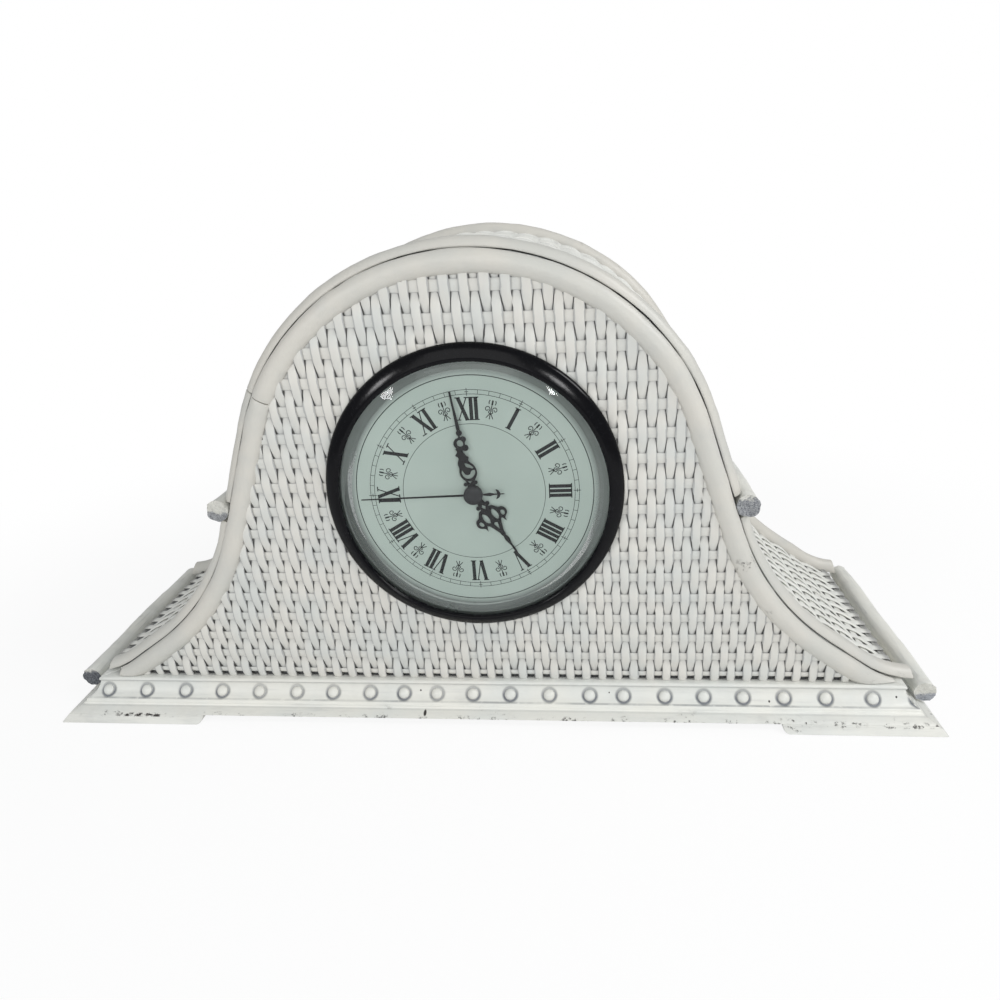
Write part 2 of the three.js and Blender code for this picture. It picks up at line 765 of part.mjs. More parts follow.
for (const [side, hand] of [
  [-1, "left"],
  [1, "right"],
]) {
  const frontFoot = join(frontArm(side), sideArm(side, SCENE_FRONT, SCENE_FRONT + FOOT_SIDE, true));
  add(plinth, "foot_front_" + hand, frontFoot, WHITE);
  const rearFoot = join(sideArm(side, boxBack, boxBack - FOOT_SIDE, false), rearArm(side));
  add(plinth, "foot_rear_" + hand, rearFoot, WHITE);
}

// Clock insert, about the dial axis
const INSERT_SIDES = 36; // facets round its rings
const bezelBack = -GAP - WEAVE - GAP;
const bezelFront = bezelBack - BEZEL_PROUD;
const spigotBore = SPIGOT_RADIUS - SPIGOT_WALL;
const lensSeat = LENS_FRONT + 1.6;
add(
  insert,
  "bezel",
  turned(
    [
      [BEZEL_RADIUS, bezelBack],
      [BEZEL_RADIUS, bezelFront + 3.2],
      [BEZEL_RADIUS - 0.8, bezelFront + 1.6],
      [BEZEL_RADIUS - 2.4, bezelFront + 0.4],
      [BEZEL_RADIUS - 4.2, bezelFront],
      [BEZEL_LIP + 0.8, bezelFront + 0.3],
      [BEZEL_LIP, bezelFront + 1],
      [BEZEL_LIP, lensSeat - GAP],
      [spigotBore, lensSeat - GAP],
      [spigotBore, SPIGOT_BACK],
      [SPIGOT_RADIUS, SPIGOT_BACK],
      [SPIGOT_RADIUS, bezelBack],
    ],
    INSERT_SIDES,
  ),
  BLACK,
);
add(
  insert,
  "lens",
  turned(
    [
      [0, LENS_FRONT],
      [LENS_FLAT, LENS_FRONT],
      [BEZEL_LIP - GAP, lensSeat],
      [INSERT_RADIUS, lensSeat],
      [INSERT_RADIUS, lensSeat + LENS_THICK],
      [BEZEL_LIP - 0.8, lensSeat + LENS_THICK],
      [LENS_FLAT - 0.6, LENS_FRONT + LENS_THICK],
      [0, LENS_FRONT + LENS_THICK],
    ],
    INSERT_SIDES,
  ),
  GLASS,
);
const spacerFront = lensSeat + LENS_THICK + GAP;
add(
  insert,
  "dial_spacer",
  turned(
    [
      [INSERT_RADIUS, spacerFront],
      [INSERT_RADIUS - 1.7, spacerFront],
      [SPACER_FOOT, DIAL_FACE - GAP],
      [INSERT_RADIUS, DIAL_FACE - GAP],
    ],
    INSERT_SIDES,
  ),
  SILVER,
);
const dialBack = DIAL_FACE + DIAL_THICK;
add(
  insert,
  "dial",
  turned(
    [
      [BUSH_RADIUS + GAP, DIAL_FACE],
      [INSERT_RADIUS, DIAL_FACE],
      [INSERT_RADIUS, dialBack],
      [BUSH_RADIUS + GAP, dialBack],
    ],
    INSERT_SIDES,
  ),
  DIAL_GREEN,
);
const cupFront = dialBack + GAP;
const cupBack = cupFront + CUP_WALL;
add(
  insert,
  "dial_cup",
  turned(
    [
      [BUSH_RADIUS + GAP, cupFront],
      [INSERT_RADIUS, cupFront],
      [INSERT_RADIUS, cupFront + CUP_RIM],
      [INSERT_RADIUS - CUP_WALL, cupFront + CUP_RIM],
      [INSERT_RADIUS - CUP_WALL, cupBack],
      [BUSH_RADIUS + GAP, cupBack],
    ],
    INSERT_SIDES,
  ),
  HOUSING,
);

// Spring clips that draw the collar against the back of the board
const clipFoot = BOARD + GAP;
const clipFront = SPIGOT_BACK + GAP;
for (const [side, hand] of [
  [-1, "left"],
  [1, "right"],
]) {
  const start = SPIGOT_RADIUS - 2;
  const step = boardHole + 3;
  const end = start + CLIP_REACH;
  const section = [
    [start, clipFront],
    [step - CLIP_THICK, clipFront],
    [step, clipFoot],
    [end, clipFoot],
    [end, clipFoot + CLIP_THICK],
    [step + CLIP_THICK * 0.6, clipFoot + CLIP_THICK],
    [step - CLIP_THICK * 0.4, clipFront + CLIP_THICK],
    [start, clipFront + CLIP_THICK],
  ];
  const rings = [-CLIP_WIDTH / 2, CLIP_WIDTH / 2].map((up) =>
    section.map(([out, y]) => [side * out, y, up]),
  );
  add(insert, "clip_" + hand, loft(rings, section), STEEL);
}

// Hands. Each is drawn pointing up and turned to its time.
const handLevels = { hour: DIAL_FACE - 3.3, minute: DIAL_FACE - 4.2, second: DIAL_FACE - 5.1 };

function disc(x, z, radius) {
  const shape = new THREE.Shape();
  shape.absarc(x, z, radius, 0, 2 * Math.PI, false);
  return shape;
}

function outline(points) {
  return new THREE.Shape(points.map(([x, z]) => new THREE.Vector2(x, z)));
}

// A smooth closed outline through its points
function curved(points) {
  const through = points.map(([x, z]) => new THREE.Vector3(x, z, 0));
  const line = new THREE.CatmullRomCurve3(through, true, "centripetal");
  return outline(line.getPoints(2 * points.length).slice(0, -1).map((p) => [p.x, p.y]));
}

// Points of the right half, from the hub outwards, made whole by their mirror image
function bothSides(points) {
  const others = points.filter(([x]) => x > 0).map(([x, z]) => [-x, z]);
  return [...points, ...others.reverse()];
}

function handSolid(shapes, openings, level, bore) {
  const made = join(...shapes.map((s) => plate(s, level, level + HAND_THICK, 6)));
  const holes = openings.map((s) => plate(s, level - 1, level + 1, 6));
  return cut(made, ...holes, ...(bore ? [rod(bore, level - 1, level + 1, 0, 0, 20)] : []));
}

// Black openwork hour hand: two long ovals side by side, a scroll on each shoulder and a spear
function hourHand() {
  const frame = bothSides([
    [1.5, 2],
    [1.5, 4.4],
    [1.7, 5.8],
    [1.9, 7.4],
    [2.1, 8.2],
    [3.3, 8.5],
    [4.3, 9.8],
    [5.3, 10.9],
    [6.6, 11.3],
    [7.4, 12.4],
    [7.6, 13.8],
    [7.1, 15.1],
    [5.9, 15.9],
    [5.1, 16.7],
    [4.9, 18.2],
    [4.4, 16.6],
    [3.9, 15.8],
    [3.2, 16.2],
    [2.6, 17.3],
    [1.9, 19.1],
    [1.2, 20.9],
    [0.9, 21.9],
    [1, 22.6],
    [0.6, 23.4],
    [1, 25.2],
    [0.6, 27.4],
    [0.35, 29],
    [0.28, HOUR_REACH],
  ]);
  const oval = [
    [2.6, 9.9],
    [3.5, 12],
    [3.3, 14.3],
    [2, 15.5],
    [1.2, 14],
    [1.2, 11.6],
  ];
  const scroll = [
    [5.5, 12.6],
    [6.3, 13],
    [6.5, 14],
    [5.8, 15.1],
    [4.8, 14.9],
    [4.7, 13.4],
  ];
  const flip = (points) => points.map(([x, z]) => [-x, z]).reverse();
  const openings = [
    ...[oval, flip(oval), scroll, flip(scroll)].map(curved),
    outline([
      [0, 6.2],
      [0.95, 7.5],
      [0, 8.9],
      [-0.95, 7.5],
    ]),
    outline([
      [0, 15.9],
      [1, 16.5],
      [0.5, 18.4],
      [0, 20.2],
      [-0.5, 18.4],
      [-1, 16.5],
    ]),
  ];
  const shapes = [
    disc(0, 0, HOUR_PIPE + 1.3),
    curved(frame),
    disc(-2.4, 6.8, 0.95),
    disc(2.4, 6.8, 0.95),
  ];
  return handSolid(shapes, openings, handLevels.hour, HOUR_PIPE + GAP);
}

// Minute hand: two open loops one over the other, joined by a waved stem, and a long blade
function minuteHand() {
  const stem = [
    [-2.3, 21.8],
    [-3.1, 21.1],
    [-2.6, 20.2],
    [-3.1, 19.2],
    [-3.8, 18.4],
    [-2.9, 17.6],
    [-2.7, 16.8],
    [-3.2, 15.7],
    [-3.6, 14.3],
    [-3.3, 12.7],
    [-3.6, 11.4],
    [-3.7, 10.2],
    [-3.5, 8.8],
    [-2.7, 7.4],
    [-1.9, 6.6],
    [-1.6, 5.2],
    [-1.5, 2],
    [1.6, 2],
    [1.8, 5],
    [2.1, 6.4],
    [3, 7.6],
    [3.7, 9],
    [3.8, 10.5],
    [3.4, 12.2],
    [2.5, 13.7],
    [1.4, 15],
    [1.3, 15.8],
    [1.7, 16.8],
    [0.8, 17.5],
    [0.5, 18.3],
    [-0.2, 19.8],
    [0.2, 21.2],
    [-0.8, 22],
  ];
  const upperCrescent = [
    [-0.6, 14.6],
    [-0.6, 13.2],
    [-0.1, 12.5],
    [1, 12.1],
    [2, 11.6],
    [2.7, 11.8],
    [2, 12.9],
    [0.9, 13.9],
  ];
  const lowerCrescent = [
    [-2.4, 11.5],
    [-2.8, 10.4],
    [-2.5, 8.9],
    [-1.7, 7.8],
    [-0.4, 7.3],
    [1, 7.5],
    [2.3, 8.5],
    [3, 9.8],
    [2.9, 10.9],
    [2, 10.9],
    [1.2, 10.3],
    [0.7, 9.4],
    [-0.4, 9],
    [-1.4, 9.5],
    [-1.9, 10.5],
  ];
  const loopHole = [
    [-0.6, 24.9],
    [-1.6, 24.4],
    [-1.9, 23.3],
    [-1.5, 22.3],
    [-0.6, 21.9],
    [0.5, 22.3],
    [0.7, 23.4],
    [0.4, 24.4],
  ];
  const shapes = [
    disc(0, 0, CAP_RADIUS - 0.6),
    curved(stem),
    disc(-2.3, 5, 0.85),
    disc(2.2, 5.2, 0.85),
    disc(-0.9, 23.4, 2.5),
    disc(1, 24.9, 1.35),
    disc(1.2, 21.1, 1.4),
    disc(0, 27.9, 1.3),
    outline([
      [-1.3, 25.3],
      [0.4, 25.3],
      [0, 26.3],
      [0.5, 27.6],
      [-0.8, 27.6],
      [-0.6, 26.3],
    ]),
    outline([
      [-0.6, 28.4],
      [0.6, 28.4],
      [0.8, 0.66 * MINUTE_REACH],
      [0.65, 0.71 * MINUTE_REACH],
      [0.45, 0.85 * MINUTE_REACH],
      [0.4, MINUTE_REACH],
      [-0.4, MINUTE_REACH],
      [-0.45, 0.85 * MINUTE_REACH],
      [-0.65, 0.71 * MINUTE_REACH],
      [-0.8, 0.66 * MINUTE_REACH],
    ]),
  ];
  const footHole = outline([
    [-0.3, 5.1],
    [1, 6.2],
    [-1.1, 6.2],
  ]);
  const openings = [curved(upperCrescent), curved(lowerCrescent), curved(loopHole), footHole];
  return handSolid(shapes, openings, handLevels.minute, MINUTE_PIPE + GAP);
}

// Second hand: a needle with a spear and crescent on its tail, under the round cap
function secondHand() {
  const crescent = curved([
    [0, -10.4],
    [-1.2, -10.2],
    [-2.2, -9.8],
    [-1.6, -11.1],
    [0, -11.8],
    [1.6, -11.1],
    [2.2, -9.8],
    [1.2, -10.2],
  ]);
  const shapes = [
    outline([
      [-0.45, 0],
      [0.45, 0],
      [0.2, SECOND_REACH],
      [-0.2, SECOND_REACH],
    ]),
    outline([
      [-0.35, 0],
      [-0.35, -4.4],
      [-0.75, -7.3],
      [-0.25, -9.1],
      [-0.15, -SECOND_TAIL],
      [0.15, -SECOND_TAIL],
      [0.25, -9.1],
      [0.75, -7.3],
      [0.35, -4.4],
      [0.35, 0],
    ]),
    crescent,
  ];
  const level = handLevels.second;
  const cap = turned(
    [
      [0, level - 0.5],
      [CAP_RADIUS - 1, level - 0.4],
      [CAP_RADIUS, level],
      [CAP_RADIUS, level + HAND_THICK],
      [0, level + HAND_THICK],
    ],
    24,
  );
  return join(handSolid(shapes, [], level, 0), cap);
}

// A hand's turn clockwise from XII, as seen from the front
function turnToTime(mesh, turns) {
  mesh.rotation.y = rad(360 * turns - DIAL_TURN);
  return mesh;
}
turnToTime(add(insert, "hour_hand", hourHand(), BLACK), HOURS_SHOWN / 12);
turnToTime(add(insert, "minute_hand", minuteHand(), BLACK), MINUTES_SHOWN / 60);
turnToTime(add(insert, "second_hand", secondHand(), BLACK), SECONDS_SHOWN / 60);

const nut = new THREE.CylinderGeometry(
  NUT_ACROSS / Math.sqrt(3),
  NUT_ACROSS / Math.sqrt(3),
  NUT_THICK,
  6,
).translate(0, DIAL_FACE - GAP - NUT_THICK / 2, 0);
add(insert, "hex_nut", cut(nut, rod(BUSH_RADIUS + GAP, -NUT_ACROSS, NUT_ACROSS, 0, 0, 24)), BLACK);

// Movement housing: a tray open at the back, with a battery bay across its foot and the threaded
// bush through the dial
const houseFront = cupBack + GAP;
const houseBack = houseFront + MOVEMENT_DEPTH;
const houseFloor = houseFront + MOVEMENT_WALL;
const half = MOVEMENT / 2;
const inside = half - MOVEMENT_WALL;
const bayTop = -BATTERY_DROP + BATTERY_RADIUS + 0.7;
const bayWall = 1;
const housing = cut(
  join(
    cut(
      block([-half, houseFront, -half], [half, houseBack, half]),
      block([-inside, houseFloor, bayTop + bayWall], [inside, houseBack + 1, inside]),
      block([-inside, houseFloor, -inside], [inside, houseBack + 1, bayTop]),
    ),
    rod(BUSH_RADIUS, DIAL_FACE - NUT_THICK - 0.7, houseFloor, 0, 0, 24),
  ),
  rod(BUSH_BORE, -MOVEMENT, houseFloor + 1, 0, 0, 24),
);
add(movement, "movement_case", housing, HOUSING);

const setPlace = [SET_REACH * Math.cos(rad(SET_ANGLE)), SET_REACH * Math.sin(rad(SET_ANGLE))];
const thirdPlace = [
  THIRD_REACH * Math.cos(rad(THIRD_ANGLE)),
  THIRD_REACH * Math.sin(rad(THIRD_ANGLE)),
];
const fifthPlace = [
  FIFTH_REACH * Math.cos(rad(FIFTH_ANGLE)),
  FIFTH_REACH * Math.sin(rad(FIFTH_ANGLE)),
];
const rotorPlace = [
  fifthPlace[0] + ROTOR_REACH * Math.cos(rad(ROTOR_ANGLE)),
  fifthPlace[1] + ROTOR_REACH * Math.sin(rad(ROTOR_ANGLE)),
];
const coverFront = houseBack - MOVEMENT_WALL;

// Gears. A tooth is centred on the phase angle; the mate across the line of centres gets a gap
// there. Radius is the pitch radius. A pinion's teeth have blunt tips, a wheel's come to a point.
const TOOTH_TIP = 0.06; // half the width of a pinion tooth's tip, as a share of the pitch
function gearShape(teeth, radius, phase, bore) {
  const size = (2 * radius) / teeth;
  const pitch = (2 * Math.PI) / teeth;
  const tip = radius + 0.8 * size;
  const root = radius - 1.3 * size;
  const blunt = [
    [-TOOTH_TIP, tip],
    [TOOTH_TIP, tip],
    [0.5, root],
  ];
  const pointed = [
    [0, tip],
    [0.5, root],
  ];
  const points = [];
  for (let i = 0; i < teeth; i++) {
    const a = phase + i * pitch;
    for (const [share, r] of teeth > CANNON_TEETH ? pointed : blunt) {
      points.push([r * Math.cos(a + share * pitch), r * Math.sin(a + share * pitch)]);
    }
  }
  const shape = outline(points);
  if (bore) shape.holes.push(new THREE.Path().absarc(0, 0, bore, 0, 2 * Math.PI, true));
  return shape;
}

// A gear on its arbor's axis, meshing with a mate that lies at the angle toMate
function gear(teeth, radius, y0, y1, toMate, gap, bore = 0) {
  const half0 = gap ? Math.PI / teeth : 0;
  return plate(gearShape(teeth, radius, rad(toMate) + half0, bore), y0, y1, 6);
}

function pitchRadii(reach, teethA, teethB) {
  return [(reach * teethA) / (teethA + teethB), (reach * teethB) / (teethA + teethB)];
}

// Levels from the housing floor back
const level = (n) => houseFloor + GAP + n;
const [cannonR, minuteWheelR] = pitchRadii(SET_REACH, CANNON_TEETH, MINUTE_WHEEL_TEETH);
const [hourWheelR, minutePinionR] = pitchRadii(SET_REACH, HOUR_WHEEL_TEETH, MINUTE_PINION_TEETH);
const [centreR, thirdPinionR] = pitchRadii(THIRD_REACH, CENTRE_WHEEL_TEETH, PINION_TEETH);
const [secondPinionR, thirdR] = pitchRadii(THIRD_REACH, PINION_TEETH, THIRD_WHEEL_TEETH);
const [secondR, fifthPinionR] = pitchRadii(FIFTH_REACH, SECOND_WHEEL_TEETH, PINION_TEETH);
const [rotorPinionR, fifthR] = pitchRadii(ROTOR_REACH, PINION_TEETH, FIFTH_WHEEL_TEETH);

function pipe(outer, inner, y0, y1) {
  return turned(
    [
      [inner, y0],
      [outer, y0],
      [outer, y1],
      [inner, y1],
    ],
    14,
  );
}

const hourPipeFront = handLevels.hour - 0.2;
add(
  movement,
  "hour_wheel",
  join(
    gear(HOUR_WHEEL_TEETH, hourWheelR, level(0), level(1), SET_ANGLE, false, HOUR_PIPE_BORE),
    pipe(HOUR_PIPE, HOUR_PIPE_BORE, hourPipeFront, level(0.6)),
  ),
  NYLON,
);
add(
  movement,
  "minute_arbor",
  join(
    gear(CANNON_TEETH, cannonR, level(1.7), level(2.7), SET_ANGLE, false, MINUTE_PIPE_BORE),
    pipe(MINUTE_PIPE, MINUTE_PIPE_BORE, handLevels.minute - 0.2, level(4.6)),
  ),
  BRASS,
);
const toCentre = SET_ANGLE + 180;
const setArbor = 0.6;
add(
  movement,
  "minute_wheel",
  join(
    gear(MINUTE_PINION_TEETH, minutePinionR, level(0), level(1.5), toCentre, true),
    gear(MINUTE_WHEEL_TEETH, minuteWheelR, level(1.5), level(2.5), toCentre, true),
    rod(setArbor, level(1), houseBack + GAP + KNOB_LENGTH - 1),
  ).translate(setPlace[0], 0, setPlace[1]),
  NYLON,
);
add(
  movement,
  "centre_wheel",
  join(
    gear(CENTRE_WHEEL_TEETH, centreR, level(3.4), level(4.2), THIRD_ANGLE, false, MINUTE_PIPE + GAP),
    pipe(MINUTE_PIPE + 1.1, MINUTE_PIPE + GAP, level(3.0), level(4.6)),
  ),
  NYLON,
);
add(
  movement,
  "third_wheel",
  join(
    gear(PINION_TEETH, thirdPinionR, level(3.3), level(5.2), THIRD_ANGLE + 180, true),
    gear(THIRD_WHEEL_TEETH, thirdR, level(5.2), level(6), THIRD_ANGLE + 180, true),
    rod(ARBOR, level(0), coverFront - GAP),
  ).translate(thirdPlace[0], 0, thirdPlace[1]),
  NYLON,
);
add(
  movement,
  "second_wheel",
  join(
    gear(PINION_TEETH, secondPinionR, level(5), level(6.8), THIRD_ANGLE, false),
    gear(SECOND_WHEEL_TEETH, secondR, level(6.8), level(7.6), FIFTH_ANGLE, false),
    rod(ARBOR, handLevels.second + HAND_THICK + GAP, coverFront - GAP),
  ),
  NYLON,
);
const fifthBore = 0.9;
const postRadius = 0.6;
add(
  movement,
  "fifth_wheel",
  join(
    gear(PINION_TEETH, fifthPinionR, level(6.7), level(8.4), FIFTH_ANGLE + 180, true, fifthBore),
    gear(FIFTH_WHEEL_TEETH, fifthR, level(8.4), level(9.2), ROTOR_ANGLE, false, fifthBore),
  ).translate(fifthPlace[0], 0, fifthPlace[1]),
  NYLON,
);
add(
  movement,
  "rotor",
  join(
    gear(PINION_TEETH, rotorPinionR, level(8.3), level(9.3), ROTOR_ANGLE + 180, true),
    rod(MAGNET_RADIUS, level(1.4), level(4.6), 0, 0, 16),
    rod(ARBOR * 0.8, level(0), coverFront - GAP, 0, 0, 8),
  ).translate(rotorPlace[0], 0, rotorPlace[1]),
  STEEL,
);

// Stator plate round the rotor, and the coil on a core that lies on the plate's legs
const statorFront = level(2.9);
const statorBack = level(3.9);
const legOut = COIL_HALF + 3.5;
const statorTop = COIL_HEIGHT + 2.4;
const statorFoot = rotorPlace[1] - MAGNET_RADIUS - STATOR_CLEAR - 1.8;
const legWidth = 3;
const yoke = outline([
  [-legOut, statorFoot],
  [legOut, statorFoot],
  [legOut, statorTop],
  [legOut - legWidth, statorTop],
  [legOut - legWidth, statorFoot + 9.2],
  [-legOut + legWidth, statorFoot + 9.2],
  [-legOut + legWidth, statorTop],
  [-legOut, statorTop],
]);
yoke.holes.push(
  new THREE.Path().absarc(
    rotorPlace[0],
    rotorPlace[1],
    MAGNET_RADIUS + STATOR_CLEAR,
    0,
    2 * Math.PI,
    true,
  ),
);
add(movement, "stator", plate(yoke, statorFront, statorBack, 10), STEEL);

const coreFront = statorBack + GAP;
const coreBack = coreFront + 1.2;
const coilAxis = (coreFront + coreBack) / 2;
const winding = turned(
  [
    [0, -COIL_HALF],
    [COIL_FLANGE, -COIL_HALF],
    [COIL_FLANGE, -COIL_HALF + 1],
    [COIL_RADIUS, -COIL_HALF + 1],
    [COIL_RADIUS, COIL_HALF - 1],
    [COIL_FLANGE, COIL_HALF - 1],
    [COIL_FLANGE, COIL_HALF],
    [0, COIL_HALF],
  ],
  18,
)
  .rotateZ(Math.PI / 2)
  .translate(0, coilAxis, COIL_HEIGHT);
const core = block(
  [-legOut, coreFront, COIL_HEIGHT - 1.8],
  [legOut, coreBack, COIL_HEIGHT + 1.8],
);
add(movement, "coil", join(winding, core), COPPER);

// Cover over the wheels, with a post for the fifth wheel and a hole for the setting arbor
const cover = cut(
  join(
    block(
      [-inside + GAP, coverFront, bayTop + bayWall + GAP],
      [inside - GAP, houseBack, inside - GAP],
    ),
    rod(postRadius, level(6.7), coverFront + 0.5, fifthPlace[0], fifthPlace[1], 12),
  ),
  rod(setArbor + 0.6, 0, 2 * MOVEMENT, setPlace[0], setPlace[1], 16),
);
add(movement, "movement_cover", cover, HOUSING);

// Setting knob on the minute wheel's arbor
const knobShape = new THREE.Shape();
for (let i = 0; i < KNOB_FLUTES * 2; i++) {
  const a = (Math.PI * i) / KNOB_FLUTES;
  const r = KNOB_RADIUS - (i % 2) * 0.6;
  if (i) knobShape.lineTo(r * Math.cos(a), r * Math.sin(a));
  else knobShape.moveTo(r * Math.cos(a), r * Math.sin(a));
}
const knobFront = houseBack + GAP;
const knob = cut(
  plate(knobShape, knobFront, knobFront + KNOB_LENGTH),
  rod(setArbor + GAP, knobFront - 1, knobFront + KNOB_LENGTH - 1 + GAP, 0, 0, 10),
).translate(setPlace[0], 0, setPlace[1]);
add(movement, "setting_knob", knob, HOUSING);

// Battery in its bay, and a contact spring at each end
const batteryAxis = houseFloor + BATTERY_RADIUS + GAP;
const nub = 1.1;
const cell = turned(
  [
    [0, -BATTERY_LENGTH / 2],
    [BATTERY_RADIUS - 0.6, -BATTERY_LENGTH / 2],
    [BATTERY_RADIUS, -BATTERY_LENGTH / 2 + 0.6],
    [BATTERY_RADIUS, BATTERY_LENGTH / 2 - nub - 0.6],
    [BATTERY_RADIUS - 0.6, BATTERY_LENGTH / 2 - nub],
    [2.7, BATTERY_LENGTH / 2 - nub],
    [2.6, BATTERY_LENGTH / 2],
    [0, BATTERY_LENGTH / 2],
  ],
  20,
)
  .rotateZ(-Math.PI / 2)
  .translate(0, batteryAxis, -BATTERY_DROP);
add(movement, "battery", cell, CELL);
const springFace = BATTERY_LENGTH / 2 + GAP;
for (const [side, name] of [
  [-1, "contact_minus"],
  [1, "contact_plus"],
]) {
  const spring = block(
    [side < 0 ? -inside + 0.1 : springFace, batteryAxis - CONTACT / 2, -BATTERY_DROP - CONTACT / 2],
    [side < 0 ? -springFace : inside - 0.1, batteryAxis + CONTACT / 2, -BATTERY_DROP + CONTACT / 2],
  );
  add(movement, name, spring, STEEL);
}

export default clock;
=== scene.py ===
# %% [markdown]
# A mantel clock in white-painted rattan. Its solids were made in CAD and packed, and this file
# dresses them for a close look. It loads them first. They fix every size and place, so each new
# piece is built round a solid and never moves one. Lengths are in metres, the dial faces -Y and
# the feet stand on z = 0.

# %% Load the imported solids
import json
import math
import bpy
import numpy as np
from mathutils import Matrix, Vector


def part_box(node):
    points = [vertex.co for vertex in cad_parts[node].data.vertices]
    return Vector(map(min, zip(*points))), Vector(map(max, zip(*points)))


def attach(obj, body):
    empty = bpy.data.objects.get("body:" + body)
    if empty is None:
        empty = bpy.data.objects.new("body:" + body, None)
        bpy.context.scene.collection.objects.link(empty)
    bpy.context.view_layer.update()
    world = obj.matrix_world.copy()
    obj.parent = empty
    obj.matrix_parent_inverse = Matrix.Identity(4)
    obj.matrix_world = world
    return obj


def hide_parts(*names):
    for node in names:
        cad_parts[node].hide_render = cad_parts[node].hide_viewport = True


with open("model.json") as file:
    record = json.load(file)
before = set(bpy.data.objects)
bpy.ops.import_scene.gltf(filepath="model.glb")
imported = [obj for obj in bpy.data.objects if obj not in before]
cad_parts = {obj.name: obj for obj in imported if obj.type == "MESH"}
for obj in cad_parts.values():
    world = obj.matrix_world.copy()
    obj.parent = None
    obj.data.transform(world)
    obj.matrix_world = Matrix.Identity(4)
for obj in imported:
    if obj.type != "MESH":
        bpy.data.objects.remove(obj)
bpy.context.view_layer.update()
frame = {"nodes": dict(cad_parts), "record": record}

nodes = frame["nodes"]
mm = 0.001

# %% [markdown]
# The camera stood close to the clock, a little above it and right of its middle, so the verticals
# close in downwards. Its place was worked out from the circles of the dial, the straight plinth
# and the four poles. A wide lens at a short distance is kept here, because a longer lens from
# farther off would flatten the way the case narrows behind its face.

# %% Camera
CAMERA_AT = Vector((0.04007, -0.34990, 0.22603))
TURN, DIP, TILT = math.radians(5.484), math.radians(21.490), math.radians(2.615)
ahead = Vector((-math.sin(TURN) * math.cos(DIP), math.cos(TURN) * math.cos(DIP), -math.sin(DIP)))
level = Vector((math.cos(TURN), math.sin(TURN), 0))
below = ahead.cross(level)
right = level * math.cos(TILT) + below * math.sin(TILT)
up = level * math.sin(TILT) - below * math.cos(TILT)
looks = Matrix((right, up, -ahead)).transposed()
bpy.ops.object.camera_add(location=CAMERA_AT, rotation=looks.to_euler())
camera = bpy.context.object
camera.name = "camera"
camera.data.sensor_width = 36
camera.data.lens = 27
camera.data.clip_start = 0.01
bpy.context.scene.camera = camera
bpy.context.scene.view_settings.view_transform = "Standard"
print("camera", tuple(round(c, 4) for c in CAMERA_AT))

# %% [markdown]
# The clock was photographed in soft light, with its surroundings white. A pale sky and one broad
# lamp in front do the same. Two small lamps make the two highlights on the black ring, and one at
# the side lights the right shoulder. A white floor would need strong lamps to look white, and
# these would bleach the paint. So the floor is told to look white to the camera, and keeps only a
# part of its own shading, which is where the shadow shows.

# %% Small tools for picking and putting down
def put_down():
    if bpy.context.object and bpy.context.object.mode != "OBJECT":
        bpy.ops.object.mode_set(mode="OBJECT")
    bpy.ops.object.select_all(action="DESELECT")


def take(*pieces):
    put_down()
    for piece in pieces:
        piece.select_set(True)
    bpy.context.view_layer.objects.active = pieces[0]
    return pieces[0]


def pick(piece, test=lambda part: True, kind="VERT"):
    """Go into edit mode with only those vertices, edges or faces selected that pass the test."""
    take(piece)
    bpy.ops.object.mode_set(mode="EDIT")
    bpy.ops.mesh.select_mode(type=kind)
    bpy.ops.mesh.select_all(action="DESELECT")
    bpy.ops.object.mode_set(mode="OBJECT")
    parts = {"VERT": piece.data.vertices, "EDGE": piece.data.edges, "FACE": piece.data.polygons}
    for part in parts[kind]:
        part.select = bool(test(part))
    bpy.ops.object.mode_set(mode="EDIT")


def named(name):
    piece = bpy.context.object
    piece.name = piece.data.name = name
    return piece


def settle(piece):
    """Move the object's place, turn and scale into its mesh."""
    take(piece)
    bpy.ops.object.transform_apply(location=True, rotation=True, scale=True)
    return piece


def tidy(piece, merge=1e-6):
    """Merge doubled points, close open ends and point every face outwards."""
    pick(piece)
    bpy.ops.mesh.remove_doubles(threshold=merge)
    bpy.ops.mesh.fill_holes(sides=0)
    bpy.ops.mesh.select_all(action="SELECT")
    bpy.ops.mesh.normals_make_consistent(inside=False)
    put_down()
    return piece


def extrude(shift):
    bpy.ops.mesh.extrude_region_move(TRANSFORM_OT_translate={"value": shift})


def saw(at, way, **settings):
    """Cut what is picked along a plane, and drop the side that the plane's way points to."""
    bpy.ops.mesh.bisect(plane_co=at, plane_no=way, clear_outer=True, **settings)


def modify(piece, kind, **settings):
    take(piece)
    modifier = piece.modifiers.new(kind.title(), kind)
    for key, value in settings.items():
        setattr(modifier, key, value)
    bpy.ops.object.modifier_apply(modifier=modifier.name)
    return piece


def array(piece, count, shift, **settings):
    return modify(piece, "ARRAY", count=count, use_relative_offset=False, use_constant_offset=True,
                  constant_offset_displace=shift, **settings)


def roughen(piece, texture, strength, **settings):
    return modify(piece, "DISPLACE", texture=texture, strength=strength, mid_level=0.5,
                  texture_coords="LOCAL", **settings)


def smooth(piece, degrees=40):
    take(piece)
    bpy.ops.object.shade_smooth_by_angle(angle=math.radians(degrees))
    return piece


def join(name, pieces):
    take(*pieces)
    bpy.ops.object.join()
    return named(name)


def dress(piece, material, slot, body="case", *under):
    """Paint a piece, put it on its body and hide the solids that it stands for."""
    piece.data.materials.append(material)
    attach(piece, body)
    if under:
        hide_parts(*under)
    return piece


# %% [markdown]
# Shader maths is easier to read as a formula than as a chain of Math nodes. The class below wraps
# a socket, so that adding or multiplying two of them adds the node for it. A finish starts as one
# Principled shader, and its node method adds any other node.

